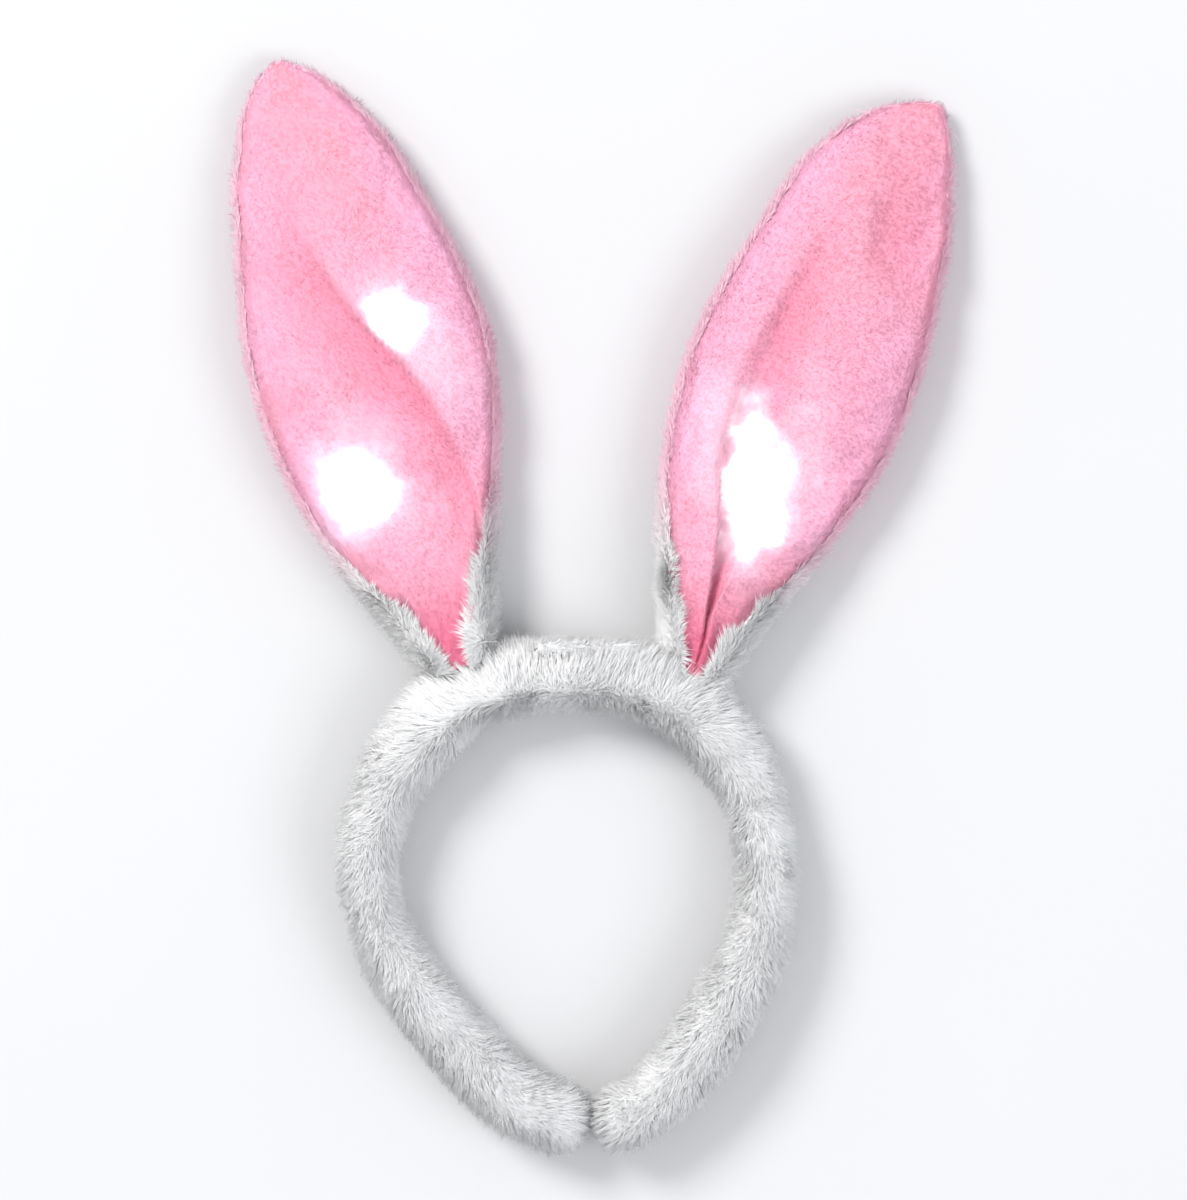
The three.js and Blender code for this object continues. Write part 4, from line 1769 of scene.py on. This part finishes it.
    def build_back(self) -> list[bpy.types.Object]:
        """Builds the white plush back, which wraps round the rim.

        Returns:
            The cloth, its pile and its stray hairs.
        """
        name = f"{self.side.value}_ear_plush"
        back = cut_cloth(name, *self.back_grid)
        along, angle = self.lay(
            back,
            lambda at: math.pi - self.lip(at),
            lambda at: 2 * math.pi + self.lip(at),
            1.0,
            self.back_inset,
        )
        points = points_of(back)
        shelter = ease((0.97 - along) / 0.1)
        points[:, 2] += self.back_lump * self.lumps[0](points) * shelter * (np.sin(angle) < 0)
        points[:, 2] = np.maximum(points[:, 2], self.off_table)
        move_points(back, points)
        lip = self.lip(along)
        to_lip = np.minimum(angle - (math.pi - lip), 2 * math.pi + lip - angle)
        brink = ease(1 - to_lip * self.sizes(along)["half"] / 0.008)
        lit_side = np.maximum(ease(1.5 + np.sin(angle) * 1.6), ease((along - 0.96) / 0.03))
        # Painted lamp glow: the plush turns pink from a little way up the ear, fading out underneath except
        # at the tip.
        blush = 0.92 * ease((along - 0.12) / 0.2) * lit_side
        mark_points(back, "blush", blush)
        mark_points(back, "tip", np.full(len(points), 0.45))
        mark_points(back, "lay", 0.6 * brink)
        stretch = 0.3 * brink * (1 - blush) - 0.3 * blush - 0.2 * ease((along - 0.9) / 0.06)
        mark_points(back, "stretch", stretch)
        close_seams(back)
        bed = PileBed.scatter(back, self.back_strands, self._near_rim, ("blush", "lay", "stretch"), seed=61)
        pile = self.back_pile.grow(f"{name}_pile", bed, self._comb, self.wardrobe.plush)
        rim_only = PileBed.scatter(
            back, self.strays, lambda at: (at[:, 2] > 0.006).astype(float), ("blush",), seed=63
        )
        strays = StrayHairs(seed=64).grow(f"{name}_stray_hairs", rim_only, self.wardrobe.plush)
        apply_modifier(back, "SOLIDIFY", thickness=self.cloth_wall, offset=-1.0)
        wear(back, self.wardrobe.plush)
        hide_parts(f"{self.side.value}_ear_back")
        return [back, pile, strays]

    def build_front(self) -> list[bpy.types.Object]:
        """Builds the pink front inside the lips of the back.

        Returns:
            The cloth and its nap.
        """
        name = f"{self.side.value}_ear_velour"
        front = cut_cloth(name, *self.front_grid)
        along, angle = self.lay(
            front,
            lambda at: self.lip(at) + self._seam_turn(at),
            lambda at: math.pi - self.lip(at) - self._seam_turn(at),
            self.front_end,
            self.front_inset,
        )
        across = -np.cos(angle)
        points = points_of(front)
        shelter = ease((0.95 - along) / 0.15) * ease((1 - np.abs(across)) / 0.35)
        dents = self.broad_dent * self.lumps[0](points) + self.fine_dent * self.lumps[1](points)
        points[:, 2] += dents * shelter
        fan = np.column_stack([across * 0.03, along * 0.02, np.zeros(len(across))])
        gathers = self.lumps[2](fan) * ease((0.24 - along) / 0.18) * ease((1 - np.abs(across)) / 0.3)
        points[:, 2] += self.gather_height * gathers
        move_points(front, points)
        self._swell_front(front, along, across)
        self._mark_front(front, along, across)
        close_seams(front)
        if normals_of(front)[:, 2].mean() < 0:
            front.data.flip_normals()
        velour = VelourFinish(f"Pink velour {self.side.value}").material(
            self.wardrobe.effects,
            self.spots,
            [self._spot_centre(spot) for spot in self.spots],
            math.radians(self.lean),
        )
        marks = ("fold", "edge", "lobe", "lay", "stretch")
        bed = PileBed.scatter(front, self.nap_strands, lambda at: 1 + 4 * self._by_seam(at), marks, seed=62)
        nap = self.nap.grow(f"{name}_nap", bed, self._brush_nap, velour)
        apply_modifier(front, "SOLIDIFY", thickness=self.cloth_wall, offset=-1.0)
        wear(front, velour)
        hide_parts(f"{self.side.value}_ear_panel")
        for piece in (front, nap):
            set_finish(piece, "pink_velour")
        return [front, nap]

    def _swell_front(self, front: bpy.types.Object, along: np.ndarray, across: np.ndarray) -> None:
        """Lets the front swell between its seams, which stay sewn down.

        Args:
            front: the cloth.
            along: the share of the length of each vertex.
            across: the share of the half width of each vertex.
        """
        group = front.vertex_groups.new(name="seam")
        for k, hold in enumerate(1 - ease((1 - np.abs(across) / np.abs(across).max()) / 0.12)):
            if hold > 0.01:
                group.add([k], float(hold), "REPLACE")
        for end in (along < 0.03, along > 0.97):
            group.add([int(k) for k in np.flatnonzero(end)], 1.0, "REPLACE")
        swell_cloth(front, self.padding, "seam")
        front.vertex_groups.clear()

    def _mark_front(self, front: bpy.types.Object, along: np.ndarray, across: np.ndarray) -> None:
        """Writes where the front is folded, edged and sewn, for its finish and its nap. The fold mark is
        painted shade in the folds' troughs plus a deeper pink towards the root.

        Args:
            front: the cloth.
            along: the share of the length of each vertex.
            across: the share of the half width of each vertex.
        """
        # Painted shade in the folds' troughs, plus a deeper pink towards the root.
        deep = np.clip(self.fold_depth(along, across) * 2.0, 0, 1)
        root = ease((0.17 - along) / 0.15)
        mark_points(front, "fold", np.clip(deep * 0.55 + root * 0.85, 0, 1))
        mark_points(front, "edge", ease((np.abs(across) - 0.3) / 0.6) * ease((along - 0.15) / 0.2))
        mark_points(front, "lobe", self.folds[0].above(along, across))
        mark_points(front, "tone", np.zeros(len(along)))
        by_seam = ease((np.abs(across) / self.section["panel"](along) - 0.9) / 0.08)
        by_seam = np.maximum(by_seam, ease((along - 0.975) / 0.02))
        mark_points(front, "lay", 0.4 * by_seam)
        mark_points(front, "stretch", 1.4 * by_seam)

    def _seam_turn(self, along: np.ndarray) -> np.ndarray:
        """The seam's gap as an angle."""
        sizes = self.sizes(along)
        return self.seam_gap / np.maximum(np.maximum(sizes["front"], sizes["half"] * 0.3), 0.001)

    def _spot_centre(self, spot: GlowSpot) -> Vector:
        """Where the middle of a bright place is.

        Args:
            spot: the bright place.

        Returns:
            Its middle in the shared frame, at the height of the table.
        """
        along = np.array([spot.along])
        sizes = self.sizes(along)
        place = (
            self.root
            + self.up * self.length * self.reach * spot.along
            + self.over * (sizes["half"][0] * spot.across + sizes["swing"][0])
        )
        return Vector((place[0], place[1], 0.0))

    def _shares(self, points: np.ndarray) -> tuple[np.ndarray, np.ndarray]:
        """How far along the ear points are, and across it as a share of its half width.

        Args:
            points: points, one row each.

        Returns:
            The shares along and across.
        """
        along = (points - self.root) @ self.up / (self.length * self.reach)
        sizes = self.sizes(along)
        across = ((points - self.root) @ self.over - sizes["swing"]) / np.maximum(sizes["half"], 0.002)
        return along, across

    def _near_rim(self, points: np.ndarray) -> np.ndarray:
        """How thickly the back's pile stands: more on the rim and the root, and less below.

        Args:
            points: points, one row each.

        Returns:
            A weight for each point.
        """
        along, _ = self._shares(points)
        height = points[:, 2] / (self.route.depth / 2)
        thick = np.where(height > 0.45, 2.2, 1.0) * np.where(points[:, 2] < 0.0015, 0.4, 1.0)
        return thick * (1 + 1.2 * ease((0.2 - along) / 0.12)) * (1 + 1.8 * self._by_seam(points))

    def _by_seam(self, points: np.ndarray) -> np.ndarray:
        """How near places on the front are to the seam, from 0 to 1.

        Args:
            points: points, one row each.

        Returns:
            A share for each point.
        """
        along, across = self._shares(points)
        sizes = self.sizes(along)
        apart = np.abs(np.abs(across) - self.section["panel"](along)) * sizes["half"]
        return ease(1.2 - apart / 0.0045) * ease((points[:, 2] - sizes["rim"]) / 0.0012)

    def _comb(self, points: np.ndarray) -> np.ndarray:
        """The pile is brushed from the band to the tip, and over the seam at the root.

        Args:
            points: points, one row each.

        Returns:
            A direction for each point.
        """
        along, across = self._shares(points)
        outward = 0.3 * ease((along - 0.16) / 0.1)
        aside = np.sign(across) * (outward - (1.1 + outward) * self._by_seam(points))
        upward = 1 - 1.2 * ease((0.05 - along) / 0.06)
        return self.up[None] * upward[:, None] + self.over[None] * aside[:, None]

    def _brush_nap(self, points: np.ndarray) -> np.ndarray:
        """The nap is brushed from the band to the tip, and out over the seam.

        Args:
            points: points, one row each.

        Returns:
            A direction for each point.
        """
        _, across = self._shares(points)
        aside = 1.5 * np.sign(across) * self._by_seam(points)
        return self.up[None] + self.over[None] * aside[:, None]


def left_ear(route: BandRoute, wardrobe: Wardrobe) -> Ear:
    """The left ear, which is broad and nearly smooth, with one long slanting fold.

    Args:
        route: the middle line of the band.
        wardrobe: the shared materials.

    Returns:
        The ear.
    """
    return Ear(
        side=Side.LEFT,
        route=route,
        wardrobe=wardrobe,
        seat=0.49,
        lean=16.7,
        reach=1.0,
        outline=(
            OutlineRow(-0.08, 0.31, 0.33),
            OutlineRow(0, 0.29, 0.33),
            OutlineRow(0.093, 0.43, 0.43),
            OutlineRow(0.187, 0.645, 0.6),
            OutlineRow(0.28, 0.81, 0.77),
            OutlineRow(0.373, 0.904, 0.933),
            OutlineRow(0.48, 0.945, 1.03),
            OutlineRow(0.58, 0.913, 1),
            OutlineRow(0.69, 0.8, 0.895),
            OutlineRow(0.8, 0.67, 0.76),
            OutlineRow(0.88, 0.61, 0.69),
            OutlineRow(1, 0.63, 0.63),
        ),
        folds=(
            Fold(
                (
                    FoldRow(0.1, 0.5, 0.9, 0.0, 0.6, 0.1),
                    FoldRow(0.2, 0.42, 0.88, 0.16, 0.6, 0.1),
                    FoldRow(0.32, 0.2, 0.62, 0.32, 0.7, 0.1),
                    FoldRow(0.45, -0.1, 0.32, 0.4, 0.7, 0.1),
                    FoldRow(0.62, -0.5, -0.12, 0.32, 0.6, 0.12),
                    FoldRow(0.82, -0.7, -0.42, 0.0, 0.5, 0.3),
                )
            ),
        ),
        spots=(
            GlowSpot(0.31, -0.42, 0.1, 0.0145, 0.013, 0.6, 1.1, 0.7, Lobe.LOW),
            GlowSpot(0.33, -0.38, 0.1, 0.021, 0.021, 0.75, 1.5, 0.5, Lobe.LOW),
            GlowSpot(0.55, 0.3, 0.5, 0.0085, 0.0105, 0.6, 1.1, 0.7, Lobe.HIGH),
            GlowSpot(0.5, 0.42, 0.45, 0.012, 0.027, 0.8, 1.5, 0.5, Lobe.HIGH),
            GlowSpot(0.45, 0.0, 0.0, 0.036, 0.075, 0.7, 0.8, 0.2),
        ),
    )


def right_ear(route: BandRoute, wardrobe: Wardrobe) -> Ear:
    """The right ear, pleated at its root so that its two sides stand up beside a hollow.

    Args:
        route: the middle line of the band.
        wardrobe: the shared materials.

    Returns:
        The ear.
    """
    return Ear(
        side=Side.RIGHT,
        route=route,
        wardrobe=wardrobe,
        seat=0.54,
        lean=-23.6,
        reach=0.98,
        outline=(
            OutlineRow(-0.08, 0.3, 0.3),
            OutlineRow(0, 0.29, 0.28),
            OutlineRow(0.115, 0.53, 0.36),
            OutlineRow(0.24, 0.808, 0.55),
            OutlineRow(0.351, 0.98, 0.692),
            OutlineRow(0.477, 1.075, 0.765),
            OutlineRow(0.57, 1.06, 0.745),
            OutlineRow(0.685, 0.98, 0.65),
            OutlineRow(0.8, 0.89, 0.525),
            OutlineRow(0.885, 0.86, 0.435),
            OutlineRow(1, 0.93, 0.39),
        ),
        folds=(
            Fold(
                (
                    FoldRow(0.0, 0.02, 0.06, 0.1, 0.1, 0.12),
                    FoldRow(0.04, 0.0, 0.04, 0.3, 0.1, 0.12),
                    FoldRow(0.15, -0.12, 0.07, 0.48, 0.1, 0.18),
                    FoldRow(0.26, -0.28, 0.14, 0.56, 0.11, 0.22),
                    FoldRow(0.35, -0.44, 0.17, 0.5, 0.14, 0.32),
                    FoldRow(0.48, -0.46, 0.0, 0.38, 0.2, 0.5),
                    FoldRow(0.62, -0.43, -0.1, 0.3, 0.18, 0.5),
                    FoldRow(0.8, -0.4, -0.2, 0.0, 0.3, 0.5),
                ),
                crisp=Lobe.LOW,
            ),
            Fold(
                (
                    FoldRow(0.67, 0.2, 0.75, 0.0, 0.4, 0.4),
                    FoldRow(0.745, 0.16, 0.78, 0.22, 0.32, 0.4),
                    FoldRow(0.86, 0.02, 0.8, 0.17, 0.42, 0.4),
                    FoldRow(0.97, -0.1, 0.8, 0.0, 0.5, 0.4),
                )
            ),
        ),
        spots=(
            GlowSpot(0.315, -0.08, 0.36, 0.0125, 0.026, 0.6, 1.1, 0.7, Lobe.HIGH),
            GlowSpot(0.335, 0.0, 0.32, 0.02, 0.033, 0.75, 1.5, 0.5, Lobe.HIGH),
            GlowSpot(0.36, -0.5, 0.42, 0.01, 0.024, 0.8, 1.5, 0.5, Lobe.LOW),
            GlowSpot(0.4, 0.0, 0.0, 0.032, 0.07, 0.7, 0.8, 0.2),
        ),
    )


@dataclass
class Lamps:
    """The four small lamps inside the ears, which keep their own shape."""

    wardrobe: Wardrobe
    names: tuple[str, ...] = (
        "left_ear_lamp_near",
        "left_ear_lamp_far",
        "right_ear_lamp_near",
        "right_ear_lamp_far",
    )

    def dress(self, nodes: dict[str, bpy.types.Object]) -> None:
        """Gives each lamp its frosted cover.

        Args:
            nodes: the frame's objects by name.
        """
        for name in self.names:
            lamp = nodes[name]
            if not lamp.data.materials:
                lamp.data.materials.append(None)
            for k in range(len(lamp.data.materials)):
                lamp.data.materials[k] = self.wardrobe.lamp


@dataclass
class Studio:
    """A pale table, soft light and a camera straight above the headband."""

    wardrobe: Wardrobe
    frame_height: float = 0.407
    camera_distance: float = 1.7
    sensor: float = 36.0
    table: float = 6.0
    air_colour: Colour = (0.95, 0.97, 1.0)
    air_strength: float = 0.8

    def build(self) -> None:
        """Sets up the table, the lights and the camera."""
        deselect_all()
        bpy.ops.mesh.primitive_plane_add(size=self.table, location=(0, 0, 0))
        floor = bpy.context.object
        floor.name = "pale_table"
        floor.data.materials.append(self.wardrobe.floor)
        self._lamp("Key light", (-1.7, 1.5, 2.3), 1.3, 80.0, (1.0, 0.985, 0.965))
        self._lamp("Fill light", (1.9, -0.9, 2.0), 1.8, 32.0, (0.95, 0.97, 1.0))
        world = bpy.data.worlds.new("Studio air")
        bpy.context.scene.world = world
        world.use_nodes = True
        air = world.node_tree.nodes["Background"]
        air.inputs["Color"].default_value = (*self.air_colour, 1.0)
        air.inputs["Strength"].default_value = self.air_strength
        bpy.context.scene.view_settings.view_transform = "Standard"
        self._camera()

    def _lamp(
        self, name: str, place: tuple[float, float, float], size: float, power: float, colour: Colour
    ) -> None:
        """Hangs one soft light that faces the headband.

        Args:
            name: the light's name.
            place: where it hangs.
            size: how wide it is.
            power: its power in watts.
            colour: its colour.
        """
        light = bpy.data.lights.new(name, "AREA")
        light.shape = "DISK"
        light.size = size
        light.energy = power
        light.color = colour
        holder = bpy.data.objects.new(name, light)
        holder.location = place
        holder.rotation_euler = (-Vector(place)).to_track_quat("-Z", "Y").to_euler()
        bpy.context.scene.collection.objects.link(holder)

    def _camera(self) -> None:
        """Hangs the camera straight above, with the ears pointing up in the picture."""
        lens = bpy.data.cameras.new("Camera")
        lens.sensor_fit = "AUTO"
        lens.sensor_width = self.sensor
        lens.lens = self.sensor * self.camera_distance / self.frame_height
        camera = bpy.data.objects.new("Camera", lens)
        camera.location = (0.0, 0.0, self.camera_distance)
        bpy.context.scene.collection.objects.link(camera)
        bpy.context.scene.camera = camera


def main() -> None:
    """Builds the headband's looks round its frame."""
    logging.basicConfig(level=logging.INFO, format="%(name)s: %(message)s")
    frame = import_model()
    effects = SharedEffects()
    wardrobe = Wardrobe(
        effects=effects,
        plush=PlushFinish().material(effects),
        lamp=LampFinish().material(effects),
        floor=FloorFinish().material(effects),
    )
    Studio(wardrobe).build()
    route = BandRoute()
    route.settle(*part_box("band_sleeve"))
    parts = [
        PlushBand(route, wardrobe),
        BatteryPad(route, wardrobe),
        left_ear(route, wardrobe),
        right_ear(route, wardrobe),
    ]
    for part in parts:
        for piece in part.build():
            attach(piece, "root")
            if "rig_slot" not in piece:
                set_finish(piece, "white_plush")
            LOG.info("%s: %d faces", piece.name, len(piece.data.polygons))
    Lamps(wardrobe).dress(frame["nodes"])


if __name__ == "__main__":
    main()
